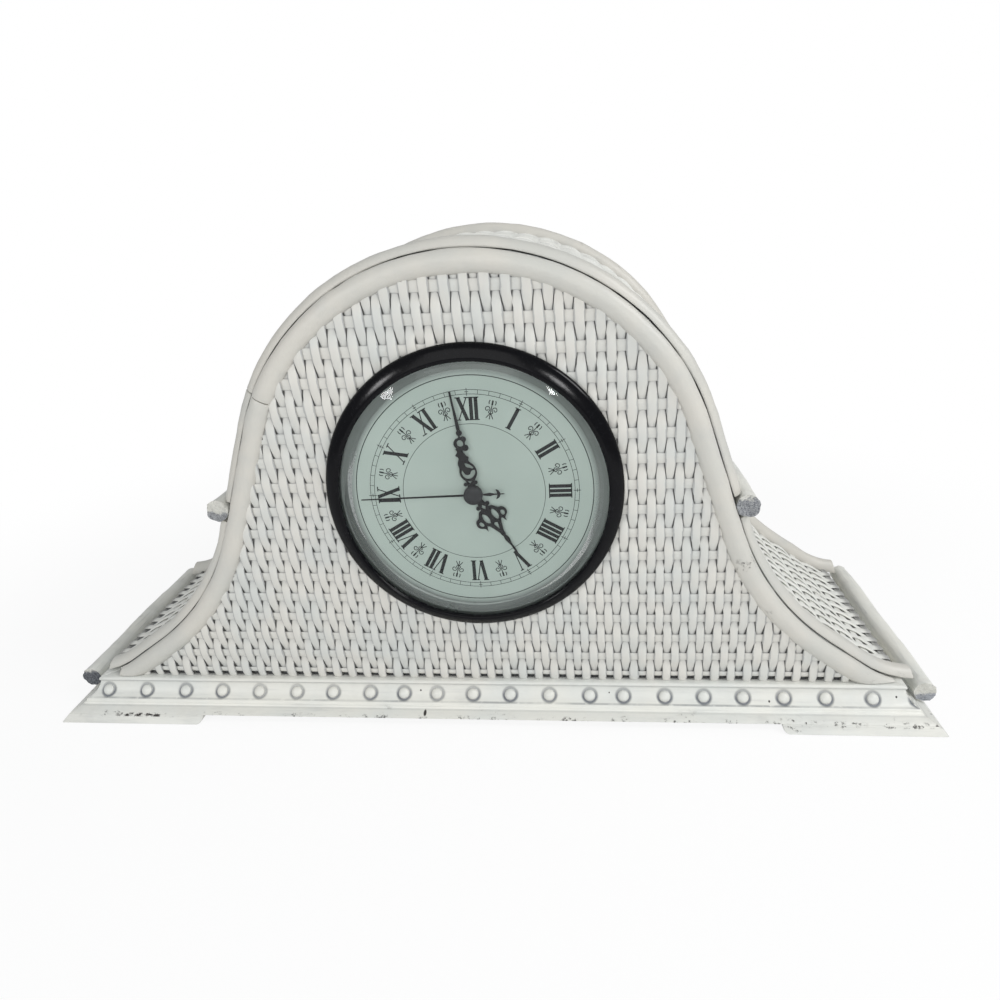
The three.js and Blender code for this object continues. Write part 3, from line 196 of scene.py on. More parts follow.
# %% Shader maths as expressions
class Wire:
    def __init__(self, finish, socket):
        self.finish, self.socket = finish, socket

    def _math(self, operation, a, b=0.0):
        made = self.finish.node("Math", {"operation": operation}, {0: a, 1: b})
        return Wire(self.finish, made.outputs[0])

    def __add__(self, other): return self._math("ADD", self, other)
    def __radd__(self, other): return self._math("ADD", other, self)
    def __sub__(self, other): return self._math("SUBTRACT", self, other)
    def __rsub__(self, other): return self._math("SUBTRACT", other, self)
    def __mul__(self, other): return self._math("MULTIPLY", self, other)
    def __rmul__(self, other): return self._math("MULTIPLY", other, self)
    def __truediv__(self, other): return self._math("DIVIDE", self, other)
    def __rtruediv__(self, other): return self._math("DIVIDE", other, self)
    def root(self): return self._math("SQRT", self)
    def size(self): return self._math("ABSOLUTE", self)
    def most(self, other): return self._math("MAXIMUM", self, other)
    def least(self, other): return self._math("MINIMUM", self, other)

    def ramp(self, low, high):
        """0 at low, 1 at high, and smooth between; low may be the greater."""
        limits = {"From Min": low, "From Max": high}
        smooth_step = {"interpolation_type": "SMOOTHSTEP"}
        made = self.finish.node("MapRange", smooth_step, {"Value": self, **limits})
        return Wire(self.finish, made.outputs[0])


class Finish:
    def __init__(self, name, colour, rough, **uniform):
        self.material = bpy.data.materials.new(name)
        self.material.use_nodes = True
        self.tree = self.material.node_tree
        self.tree.nodes.clear()
        sockets = {"Base Color": colour, "Roughness": rough, **uniform}
        self.shader = self.node("BsdfPrincipled", {}, sockets)
        self.end = self.node("OutputMaterial", {}, {"Surface": self.shader.outputs[0]})
        self.place = self.node("TexCoord").outputs["Object"]

    def node(self, kind, settings={}, sockets={}):
        made = self.tree.nodes.new("ShaderNode" + kind)
        for key, value in settings.items():
            setattr(made, key, value)
        for key, value in sockets.items():
            self.feed(made.inputs[key], value)
        return made

    def feed(self, socket, value):
        if isinstance(value, Wire):
            value = value.socket
        if isinstance(value, bpy.types.NodeSocket):
            self.tree.links.new(value, socket)
        else:
            socket.default_value = value

    def set(self, **sockets):
        for key, value in sockets.items():
            self.feed(self.shader.inputs[key.replace("_", " ")], value)
        return self

    def wire(self, socket):
        return Wire(self, socket)

    def axes(self, vector=None):
        made = self.node("SeparateXYZ", {}, {0: vector or self.place})
        return [Wire(self, out) for out in made.outputs]

    def scaled(self, x, y, z, vector=None):
        return self.node("Mapping", {}, {"Vector": vector or self.place, "Scale": (x, y, z)}).outputs[0]

    def chart(self):
        return self.node("UVMap", {"uv_map": "UVMap"}).outputs[0]

    def noise(self, scale, detail=3.0, rough=0.55, vector=None):
        sockets = {"Vector": vector or self.place, "Scale": scale, "Detail": detail, "Roughness": rough}
        return Wire(self, self.node("TexNoise", {}, sockets).outputs["Fac"])

    def blend(self, share, first, second):
        made = self.node("Mix", {"data_type": "RGBA"}, {0: share, 6: first, 7: second})
        return made.outputs[2]

    def bump(self, height, distance, strength=1.0):
        sockets = {"Height": height, "Distance": distance, "Strength": strength}
        self.feed(self.shader.inputs["Normal"], self.node("Bump", {}, sockets).outputs[0])
        return self


def tone(red, green, blue):
    """A colour as seen on screen, 0 to 255, turned to the linear values that a shader wants."""
    return tuple(((c / 255 + 0.055) / 1.055) ** 2.4 if c > 10 else c / 255 / 12.92
                 for c in (red, green, blue)) + (1.0,)


print("shader maths ready")

# %% Floor, sky and lamps
put_down()
bpy.ops.mesh.primitive_circle_add(vertices=96, radius=30, fill_type="NGON",
                                  location=(0, 0, -0.2 * mm))
floor = named("floor")
sheet = Finish("studio_floor", (0.9, 0.9, 0.9, 1), 0.9)
seen = sheet.node("LightPath")
across, along, _ = sheet.axes()
far = (across * across + along * along).root().ramp(0.2, 0.5)
share = sheet.wire(seen.outputs["Is Camera Ray"]) * (far * 0.12 + 0.88)
shows = sheet.node("Emission", {}, {"Color": (1, 1, 1, 1), "Strength": 1.0})
both = sheet.node("MixShader", {}, {0: share, 1: sheet.shader.outputs[0], 2: shows.outputs[0]})
sheet.feed(sheet.end.inputs["Surface"], both.outputs[0])
floor.data.materials.append(sheet.material)

world = bpy.data.worlds.new("studio")
bpy.context.scene.world = world
world.use_nodes = True
sky = world.node_tree
sky.nodes.clear()
air = sky.nodes.new("ShaderNodeBackground")
air.inputs["Color"].default_value = (0.96, 0.98, 1.0, 1)
air.inputs["Strength"].default_value = 0.47
white = sky.nodes.new("ShaderNodeBackground")
white.inputs["Color"].default_value = (1, 1, 1, 1)
white.inputs["Strength"].default_value = 1.0
path = sky.nodes.new("ShaderNodeLightPath")
pick_white = sky.nodes.new("ShaderNodeMixShader")
sky_end = sky.nodes.new("ShaderNodeOutputWorld")
sky.links.new(path.outputs["Is Camera Ray"], pick_white.inputs[0])
sky.links.new(air.outputs[0], pick_white.inputs[1])
sky.links.new(white.outputs[0], pick_white.inputs[2])
sky.links.new(pick_white.outputs[0], sky_end.inputs["Surface"])

for name, at, size, power in (
    ("lamp_front", (-0.15, -1.2, 0.6), 0.8, 2.9),
    ("lamp_left", (-0.6, -0.79, 0.42), 0.14, 1.6),
    ("lamp_right", (0.42, -0.9, 0.45), 0.14, 1.6),
    ("lamp_side", (0.7, -0.2, 0.7), 0.3, 3.6),
):
    put_down()
    aim = (Vector((0, 0, 0.1)) - Vector(at)).to_track_quat("-Z", "Y").to_euler()
    bpy.ops.object.light_add(type="AREA", location=at, rotation=aim)
    lamp = bpy.context.object
    lamp.name = name
    lamp.data.size = size
    lamp.data.energy = power
print("floor, sky and four lamps")

# %% [markdown]
# White paint covers the rattan, the boards and the plinth. It is a warm off-white, brushed on
# thickly, with a thin grey wash in its brush marks; the grey in its hollows and creases is
# painted shade. Small nail holes and chips show dark.
# Noise makes the brush marks and the wash, and a scatter of cells makes the specks. The edges of
# the plinth are scuffed, which a height above the table can place.

# %% Paint
PAINT = tone(224, 223, 215)
PAINT_COOL = tone(216, 218, 213)
CANE_PAINT, CANE_COOL = tone(199, 196, 188), tone(190, 190, 184)
# Grey of the wash in the brush marks, and of painted shade in hollows and along edges
WASH_AND_SHADE = tone(128, 132, 138)
BARE = tone(46, 42, 40)
NAILS_A_STEP = 3.2  # nails in a tenth of a metre of strip


def brushed(name, grain, wash=0.25, main=PAINT, cool=PAINT_COOL):
    """White paint, brushed on along the grain: its finish, its colour and its relief."""
    coat = Finish(name, main, 0.42)
    marks = coat.noise(1.0, 5, 0.65, grain(coat))
    fine = coat.noise(900, 3, 0.7)
    colour = coat.blend(coat.noise(26, 4).ramp(0.35, 0.7), main, cool)
    colour = coat.blend(coat.noise(75, 3).ramp(0.48, 0.75) * wash, colour, tone(188, 188, 183))
    colour = coat.blend(marks.ramp(0.5, 0.8) * wash, colour, WASH_AND_SHADE)
    coat.set(Roughness=marks * 0.2 + 0.34)
    return coat, colour, marks * 0.5 + fine * 0.2 + coat.noise(260, 3, 0.5) * 0.5


def chipped(coat, area, low=0.5):
    """Chips with rough edges, where the area mask allows them."""
    patches = coat.noise(60, 2).ramp(low, low + 0.1)
    return area * patches * coat.noise(420, 5, 0.75).ramp(0.54, 0.62)


def cane_coat(name, nails):
    """Paint on cane; nails show along a strip that has a map of its run and its width."""
    if nails:
        coat, colour, height = brushed(
            name, lambda c: c.scaled(7, 110, 1, c.chart()), 0.55, CANE_PAINT, CANE_COOL)
    else:
        coat, colour, height = brushed(name, lambda c: c.scaled(800, 45, 800), 0.4)
    if nails:
        run, across, _ = coat.axes(coat.chart())
        cells = coat.node("TexVoronoi", {"voronoi_dimensions": "1D"}, {"W": run, "Scale": NAILS_A_STEP})
        aside = coat.wire(cells.outputs["Distance"]) / NAILS_A_STEP
        off = across + (coat.noise(9, 1) - 0.5) * 0.04
        nail = (aside * aside + off * off).root().ramp(0.0068, 0.0045)
        # Painted shade along both edges of the strip, where it meets the weave and the board
        colour = coat.blend(across.size().ramp(0.034, 0.047) * 0.3, colour, WASH_AND_SHADE)
        colour = coat.blend(nail, colour, BARE)
        height = height - nail * 1.5
    flecks = chipped(coat, coat.noise(14, 2).ramp(0.6, 0.66), 0.56)
    coat.set(Base_Color=coat.blend(flecks * 0.8, colour, BARE))
    return coat.bump(height - flecks, 0.00045, 0.8)


def board_shade_coat():
    """Dark grey painted shade on the boards behind the weave, where its gaps fall in shade, and
    near-black painted shadow along their foot.
    """
    coat, colour, height = brushed("painted_board", lambda c: c.scaled(90, 90, 90), 0.4)
    colour = coat.blend(0.72, colour, tone(96, 98, 100))
    x, y, z = coat.axes()
    coat.set(Base_Color=coat.blend(z.ramp(0.0205, 0.0195), colour, tone(30, 31, 34)))
    return coat.bump(height, 0.0002, 0.5)


def rear_coat():
    """The rear board is painted white and brushed from side to side."""
    coat, colour, height = brushed("painted_rear_board", lambda c: c.scaled(14, 60, 260), 0.45)
    scuffs = chipped(coat, coat.noise(11, 2).ramp(0.6, 0.66), 0.56)
    coat.set(Base_Color=coat.blend(scuffs * 0.7, colour, BARE))
    return coat.bump(height, 0.0003, 0.6)


strip_paint = cane_coat("painted_strip", True).material
pole_paint = cane_coat("painted_rattan", False).material
board_shade_paint, rear_paint = board_shade_coat().material, rear_coat().material
print("paint", strip_paint.name, pole_paint.name, board_shade_paint.name)

# %% [markdown]
# The face has a tambour outline: an arch over the dial, straight sides that lean out, a hollow
# sweep and a straight toe. Every strip, panel and board follows it. It is described once, by a
# distance counted from the top of the arch, so that a strip can be swept along any part of it.

# %% Outline of the face
FACE = -0.0481
DEPTH = 0.115
DIAL_UP = 0.1105
ARCH_UP, ARCH_R = 0.1072, 0.104
LEAN, TOE = math.radians(19), math.radians(34.8)
HOLLOW_R = 0.115
BASE_HALF, PLINTH_TOP = 0.1835, 0.0175
WAIST_UP, POLE_R = 0.1015, 0.0046
GAP = 0.0003

lean_from = Vector((ARCH_R * math.cos(LEAN), ARCH_UP + ARCH_R * math.sin(LEAN)))
lean_way = Vector((math.sin(LEAN), -math.cos(LEAN)))
toe_way = Vector((math.cos(TOE), -math.sin(TOE)))
toe_end = Vector((BASE_HALF, PLINTH_TOP))
away = toe_end - lean_from
crossing = toe_way.x * lean_way.y - toe_way.y * lean_way.x
toe_run = (away.x * lean_way.y - away.y * lean_way.x) / crossing
meet = toe_end - toe_way * toe_run
HOLLOW_TURN = math.pi / 2 - LEAN - TOE
tangent = HOLLOW_R * math.tan(HOLLOW_TURN / 2)
S_ARCH = ARCH_R * (math.pi / 2 - LEAN)
S_LEAN = S_ARCH + (meet - lean_from).length - tangent
S_HOLLOW = S_LEAN + HOLLOW_R * HOLLOW_TURN
S_END = S_HOLLOW + toe_run - tangent
S_WAIST = S_ARCH + (lean_from.y - WAIST_UP) / math.cos(LEAN)
hollow_from = lean_from + lean_way * (S_LEAN - S_ARCH)


def outline_at(distance):
    """Points and outward normals (x, z, nx, nz) at distances along the outline."""
    s = np.abs(np.atleast_1d(np.asarray(distance, float)))
    a = s / ARCH_R
    b = math.pi / 2 - LEAN - (s - S_LEAN) / HOLLOW_R
    arch, leaning, hollow = s <= S_ARCH, s <= S_LEAN, s <= S_HOLLOW
    nx = np.select([arch, leaning, hollow], [np.sin(a), math.cos(LEAN), np.sin(b)], math.sin(TOE))
    nz = np.select([arch, leaning, hollow], [np.cos(a), math.sin(LEAN), np.cos(b)], math.cos(TOE))
    x = np.select([arch, leaning, hollow],
                  [ARCH_R * nx, lean_from.x + (s - S_ARCH) * lean_way.x,
                   hollow_from.x + HOLLOW_R * (math.cos(LEAN) - nx)],
                  BASE_HALF + (s - S_END) * toe_way.x)
    z = np.select([arch, leaning, hollow],
                  [ARCH_UP + ARCH_R * nz, lean_from.y + (s - S_ARCH) * lean_way.y,
                   hollow_from.y + HOLLOW_R * (math.sin(LEAN) - nz)],
                  PLINTH_TOP + (s - S_END) * toe_way.y)
    side = np.where(np.atleast_1d(np.asarray(distance, float)) < 0, -1.0, 1.0)
    return side * x, z, side * nx, nz


# The shoulders end level on the plinth, and reach up to the foot poles
REST, TOE_R = PLINTH_TOP - 0.0012, 0.04
S_BEND = S_END - (REST + TOE_R * (1 - math.cos(TOE)) - PLINTH_TOP) / math.sin(TOE)
# How far from the middle each strip and the weave are sawn off, left (-1) and right (1). The
# saw leans by SAW_SLANT, as the foot pole's side does
EDGE_TIPS = {-1: 0.190, 1: 0.1972}
FACE_TIPS = {-1: 0.1822, 1: 0.188}
REAR_TIPS = {-1: 0.1965, 1: 0.1965}
SAW_SLANT = 0.25
WEAVE_TIPS = {-1: 0.1896, 1: 0.1905}


def laid_toe(distance, out):
    """Points so far out from the outline, where its toes bend level on the plinth."""
    x, z, nx, nz = outline_at(distance)
    side = np.sign(x)
    past = np.clip(np.abs(distance) - S_BEND, 0, None)
    slope = TOE - np.clip(past / TOE_R, 0, TOE)
    bend_x, bend_z, _, _ = outline_at(S_BEND)
    along = bend_x + TOE_R * (math.sin(TOE) - np.sin(slope)) + np.clip(past - TOE_R * TOE, 0, None)
    down = bend_z - TOE_R * (np.cos(slope) - math.cos(TOE))
    bent = past > 0
    return (np.where(bent, side * (along + np.sin(slope) * out), x + nx * out),
            np.where(bent, down + np.cos(slope) * out, z + nz * out))


def spot(distance):
    x, z, nx, nz = (float(v[0]) for v in outline_at(distance))
    return Vector((x, 0, z)), Vector((nx, 0, nz))


def route(start, stop):
    """The arcs and straight runs of the outline between two distances."""
    marks = [-S_END, -S_HOLLOW, -S_LEAN, -S_ARCH, S_ARCH, S_LEAN, S_HOLLOW, S_END]
    stops = [start] + [m for m in marks if start + 0.0005 < m < stop - 0.0005] + [stop]
    moves = []
    for a, b in zip(stops, stops[1:]):
        middle = (a + b) / 2
        if abs(middle) < S_ARCH:
            moves.append(("arc", Vector((0, 0, ARCH_UP)), (b - a) / ARCH_R, b - a))
        elif S_LEAN < abs(middle) < S_HOLLOW:
            side = math.copysign(1, middle)
            centre = Vector((side * (hollow_from.x + HOLLOW_R * math.cos(LEAN)), 0,
                             hollow_from.y + HOLLOW_R * math.sin(LEAN)))
            moves.append(("arc", centre, -(b - a) / HOLLOW_R, b - a))
        else:
            moves.append(("run", spot(b)[0] - spot(a)[0], 0, b - a))
    return moves


print("outline reaches", round(S_END, 4), "waist pole at", round(S_WAIST, 4))

# %% [markdown]
# Split rattan strips edge the face and both rims of the case. Each is half a cane: flat where it
# is nailed down and round on top. A half-round section is drawn once at the strip's start, spun
# round the arcs and extruded down the straights, as the real cane is bent round the board. A soft
# cloud displacement gives it back the slight waves of a hand-bent cane.

# %% Half-round strips
waves = bpy.data.textures.new("cane_waves", "CLOUDS")
waves.noise_scale = 0.03
waves.noise_depth = 2
dents = bpy.data.textures.new("cane_dents", "CLOUDS")
dents.noise_scale = 0.009
dents.noise_depth = 2


def follow(moves, step=0.004):
    """Sweep what is selected in edit mode along the moves."""
    for kind, where, angle, length in moves:
        count = max(2, round(abs(length) / step))
        if kind == "arc":
            bpy.ops.mesh.spin(steps=count, angle=-angle, center=where, axis=(0, 1, 0))
        else:
            for _ in range(count):
                extrude(where / count)


def strip(name, start, stop, width, thick, base, across, out):
    put_down()
    turn = Matrix((across, out, across.cross(out))).transposed().to_euler()
    bpy.ops.mesh.primitive_circle_add(vertices=28, radius=1, location=base, rotation=turn)
    cane = named(name)
    cane.scale = (width / 2, thick, 1)
    settle(cane)
    pick(cane, lambda v: (v.co - base).dot(out) < -1e-7)
    bpy.ops.mesh.delete(type="VERT")
    pick(cane, lambda v: abs((v.co - base).dot(out)) < 1e-7)
    bpy.ops.mesh.edge_face_add()
    bpy.ops.mesh.select_all(action="SELECT")
    follow(route(start, stop))
    put_down()
    return tidy(cane)


def cut_level(piece):
    pick(piece)
    bpy.ops.mesh.bisect(plane_co=(0, 0, REST + GAP), plane_no=(0, 0, 1), clear_inner=True, use_fill=True)
    put_down()


def points_of(piece):
    flat = np.empty(len(piece.data.vertices) * 3)
    piece.data.vertices.foreach_get("co", flat)
    return flat.reshape(-1, 3)


def give_points(piece, points):
    piece.data.vertices.foreach_set("co", points.astype(np.float32).ravel())
    piece.data.update()


def map_points(piece, values):
    """Write a UV map from one pair of values per vertex, in tenths of a metre."""
    corners = np.empty(len(piece.data.loops), np.int32)
    piece.data.loops.foreach_get("vertex_index", corners)
    chart = piece.data.uv_layers.new(name="UVMap")
    chart.data.foreach_set("uv", (values[corners] * 10).astype(np.float32).ravel())


def map_strip(piece, middle):
    """Distance along the outline, and across the cane; middle is None for a strip on the face."""
    marks = np.linspace(-S_RUN, S_RUN, 1600)
    ox, oz, nx, nz = outline_at(marks)
    at = points_of(piece)
    near = ((at[:, :1] - ox) ** 2 + (at[:, 2:] - oz) ** 2).argmin(1)
    dx, dz = at[:, 0] - ox[near], at[:, 2] - oz[near]
    run = marks[near] + dx * nz[near] - dz * nx[near]
    out = dx * nx[near] + dz * nz[near]
    map_points(piece, np.c_[run, out + STRIP_W / 2 if middle is None else at[:, 1] - middle])


def bend_toe(piece, tips):
    """Bend a strip's end level where it meets the plinth, and saw it off at the foot pole."""
    at = points_of(piece)
    side = np.sign(at[:, 0])
    dx, dz = np.abs(at[:, 0]) - BASE_HALF, at[:, 2] - PLINTH_TOP
    run = S_END + dx * toe_way.x + dz * toe_way.y
    x, z = laid_toe(side * run, dx * math.sin(TOE) + dz * math.cos(TOE))
    past = run > S_BEND
    at[past, 0], at[past, 2] = x[past], z[past]
    give_points(piece, at)
    way = float(side[np.abs(at[:, 0]).argmax()])
    pick(piece)
    saw((way * tips[way], 0, REST), (way, 0, SAW_SLANT), use_fill=True)
    put_down()


def finish_strip(piece, under, middle=None):
    if max(abs(v.co.x) for v in piece.data.vertices) > 0.17:
        if middle is None:
            bend_toe(piece, FACE_TIPS)
            cut_level(piece)
        else:
            bend_toe(piece, EDGE_TIPS if middle < 0 else REAR_TIPS)
    modify(piece, "BEVEL", width=0.0005, segments=2, limit_method="ANGLE", angle_limit=math.radians(50))
    map_strip(piece, middle)
    roughen(piece, waves, 0.0009)
    roughen(piece, dents, 0.0006)
    smooth(piece, 50)
    return dress(piece, strip_paint, "painted_rattan", "case", under)


STRIP_W, STRIP_T, REAR_T = 0.0095, 0.004, 0.006
SEAM = -ARCH_R * math.radians(62.2)
BESIDE = POLE_R + GAP
S_RUN = S_END + 0.014


def face_strip(name, start, stop):
    at, outward = spot(start)
    base = at - outward * (STRIP_W / 2) + Vector((0, FACE - GAP, 0))
    return strip(name, start, stop, STRIP_W, STRIP_T, base, -outward, Vector((0, -1, 0)))


def edge_strip(name, start, stop, thick, middle):
    at, outward = spot(start)
    base = at + outward * GAP + Vector((0, middle, 0))
    return strip(name, start, stop, STRIP_W, thick, base, Vector((0, 1, 0)), outward)


FRONT_EDGE = FACE + 0.0002 + STRIP_W / 2
REAR_EDGE = FACE + DEPTH - 0.0002 - STRIP_W / 2
strips = [
    finish_strip(face_strip("face_cane_left", -S_RUN, SEAM - GAP / 2), "face_strip_left"),
    finish_strip(face_strip("face_cane_right", SEAM + GAP / 2, S_RUN), "face_strip_right"),
]
front, rear = (STRIP_T, FRONT_EDGE), (REAR_T, REAR_EDGE)
for name, start, stop, (thick, middle), under in (
    ("front_cane_left", -S_WAIST + BESIDE, SEAM - GAP / 2, front, "front_left"),
    ("front_cane_right", SEAM + GAP / 2, S_WAIST - BESIDE, front, "front_right"),
    ("front_cane_toe_left", -S_RUN, -S_WAIST - BESIDE, front, "front_toe_left"),
    ("front_cane_toe_right", S_WAIST + BESIDE, S_RUN, front, "front_toe_right"),
    ("rear_cane_arch", -S_WAIST + BESIDE, S_WAIST - BESIDE, rear, "rear_arch"),
    ("rear_cane_toe_left", -S_RUN, -S_WAIST - BESIDE, rear, "rear_toe_left"),
    ("rear_cane_toe_right", S_WAIST + BESIDE, S_RUN, rear, "rear_toe_right"),
):
    piece = edge_strip(name, start, stop, thick, middle)
    strips.append(finish_strip(piece, "edge_strip_" + under, middle))
print("strips", len(strips), "faces", sum(len(p.data.polygons) for p in strips))

# %% [markdown]
# The front and the top of the case are covered with woven cane: flat strands go over one rib and
# under the next, and their neighbours the other way round. Seen from the front each strand shows
# as a row of long lens shapes, with a short piece of rib between them. One strand is modelled over
# two ribs, by extruding a ring and narrowing it where it dives. Arrays then repeat it into a flat
# sheet. The sheet is laid on its surface by a short formula, because no modifier bends it along
# the outline and also leans and jitters every strand as hand weaving does.

# %% Woven cane, as a flat sheet
RIB_PITCH, STRAND_PITCH = 0.011, 0.00386
LENS_W, DIVE_W, STRAND_T = 0.0045, 0.0022, 0.00075
RIB_H, RIB_T, RISE = 0.0043, 0.0009, 0.00085
STATIONS = 14


def strand_width(rows_off):
    """Width of a strand so many ribs away from the rib that it passes over."""
    return DIVE_W + (LENS_W - DIVE_W) * (0.5 + 0.5 * np.cos(math.pi * rows_off)) ** 0.6


def ring(name, width, thick, at, along, sides):
    """A flattened ring, from which a strand runs up along Z or a rib sideways along X."""
    put_down()
    turn = (0, 0, 0) if along == "Z" else (math.pi / 2, 0, math.pi / 2)
    bpy.ops.mesh.primitive_circle_add(vertices=sides, radius=0.5, location=at, rotation=turn)
    made = named(name)
    made.scale = (width, thick, 1) if along == "Z" else (thick, width, 1)
    return settle(made)


def strand_pair(columns, periods):
    """Strands of both phases, side by side, over a number of two-rib periods."""
    period = 2 * RIB_PITCH

    def lift(step):
        return RISE * math.cos(2 * math.pi * step / STATIONS)

    def width(step):
        return float(strand_width(2 * step / STATIONS))

    strand = ring("strand", width(0), STRAND_T, (0, -lift(0), 0), "Z", 10)
    pick(strand)
    for step in range(1, STATIONS + 1):
        shift = (0, lift(step - 1) - lift(step), period / STATIONS)
        extrude(shift)
        grow = width(step) / width(step - 1)
        bpy.ops.transform.resize(value=(grow, 1, 1))
    put_down()
    pick(strand)
    bpy.ops.mesh.duplicate_move(TRANSFORM_OT_translate={"value": (STRAND_PITCH, 0, -RIB_PITCH)})
    put_down()
    array(strand, periods, (0, 0, period), use_merge_vertices=True, merge_threshold=1e-6)
    return array(strand, columns, (2 * STRAND_PITCH, 0, 0))


def rib_rows(columns, rows):
    """Ribs that bow back under one strand and forward over the next."""
    bow = 0.00022
    rib = ring("rib", RIB_H, RIB_T, (-STRAND_PITCH, 0, 0), "X", 8)
    pick(rib)
    for side in (1, -1):
        shift = (STRAND_PITCH, side * bow, 0)
        extrude(shift)
    put_down()
    array(rib, columns + 1, (2 * STRAND_PITCH, 0, 0), use_merge_vertices=True, merge_threshold=1e-6)
    pick(rib)
    bpy.ops.mesh.duplicate_move(TRANSFORM_OT_translate={"value": (-STRAND_PITCH, 0, RIB_PITCH)})
    put_down()
    return array(rib, (rows + 1) // 2, (0, 0, 2 * RIB_PITCH))


def slow_noise(a, b, seed, size):
    """A smooth wander, made of three sine waves that don't repeat together."""
    total = 0
    for k in range(3):
        turn = seed * 1.7 + k * 2.1
        along = a * math.cos(turn) + b * math.sin(turn)
        total = total + np.sin(along / (size * (0.6 + 0.5 * k)) + seed * 3.3 + k)
    return total / 3


def jitter(index, seed):
    """A steady random number between -1 and 1 for each strand or rib."""
    return np.modf(np.sin(index * 12.9898 + seed * 78.233) * 43758.5453)[0]


def lay(name, columns, periods, surface, keep, seed, strand_margin=0.0, full=1.0, hung=-1.0):
    """Weave a flat sheet, put it on a surface and drop what lies outside.

    Below the height hung the strands no longer weave, and hang straight.
    """
    strands = strand_pair(columns, periods)
    ribs = rib_rows(columns, 2 * periods)
    for piece, label in ((strands, "strands"), (ribs, "ribs")):
        flat = points_of(piece)
        u, v, depth = flat[:, 0].copy(), flat[:, 2].copy(), -flat[:, 1]
        number = np.round(u / STRAND_PITCH)
        if label == "strands":
            hangs = np.maximum(v, hung) / RIB_PITCH
            weaving = np.cos(math.pi * (v / RIB_PITCH + number))
            depth += RISE * (np.cos(math.pi * (hangs + number)) - weaving)
        shade = np.clip((depth + RISE) / (2 * RISE), 0, 1)
        if label == "strands":
            turns = v / (2 * RIB_PITCH) + number * 0.5
            cell = np.round(turns)
            middle = number * STRAND_PITCH
            half = strand_width(v / RIB_PITCH + number) / 2
            rim = np.abs(u - middle) / half
            swell = 1 + 0.09 * jitter(number + 31 * cell, seed + 2) * shade
            tip = 0.0004 * jitter(number + 17 * cell, seed + 3) * (turns - cell) * shade
            map_points(piece, np.c_[u, v])
            u = middle + (u - middle) * swell * full + tip
            u += 0.00016 * jitter(number, seed) + 0.00016 * slow_noise(v, u + number, seed, 0.02)
            depth = depth + 0.00016 * jitter(number + 31 * cell, seed + 2) * (depth > 0)
        else:
            number = np.round(v / RIB_PITCH)
            rim = np.abs(v - number * RIB_PITCH) / (RIB_H / 2)
            map_points(piece, np.c_[v, u])
            slim = RIB_PITCH + (v - RIB_PITCH) * 0.65
            v = np.where(number == 1, slim, v + 0.0005 * jitter(number, seed + 5))
        v = v + 0.0005 * slow_noise(u, v, seed + 1, 0.03)
        for key, values in (("height", shade), ("rim", rim)):
            mark = piece.data.attributes.new(key, "FLOAT", "POINT")
            mark.data.foreach_set("value", values.astype(np.float32))
        x, y, z = surface(u, depth, v)
        give_points(piece, np.c_[x, y, z])
        centres = np.empty(len(piece.data.polygons) * 3)
        piece.data.polygons.foreach_get("center", centres)
        outside = ~keep(*centres.reshape(-1, 3).T, strand_margin if label == "strands" else 0.0)
        pick(piece, lambda v: False, "FACE")
        put_down()
        piece.data.polygons.foreach_set("select", outside)
        bpy.context.view_layer.objects.active = piece
        piece.select_set(True)
        bpy.ops.object.mode_set(mode="EDIT")
        bpy.ops.mesh.delete(type="FACE")
        bpy.ops.mesh.select_all(action="SELECT")
        bpy.ops.mesh.bisect(plane_co=(0, 0, REST + 0.0001), plane_no=(0, 0, 1), clear_inner=True)
        for way, tip in WEAVE_TIPS.items():
            bpy.ops.mesh.select_all(action="SELECT")
            saw((way * tip, 0, 0), (way, 0, 0))
        put_down()
        tidy(piece)
        smooth(piece, 60)
        piece.name = piece.data.name = name + "_" + label
        dress(piece, weave_paint, "painted_weave")
    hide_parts(name)


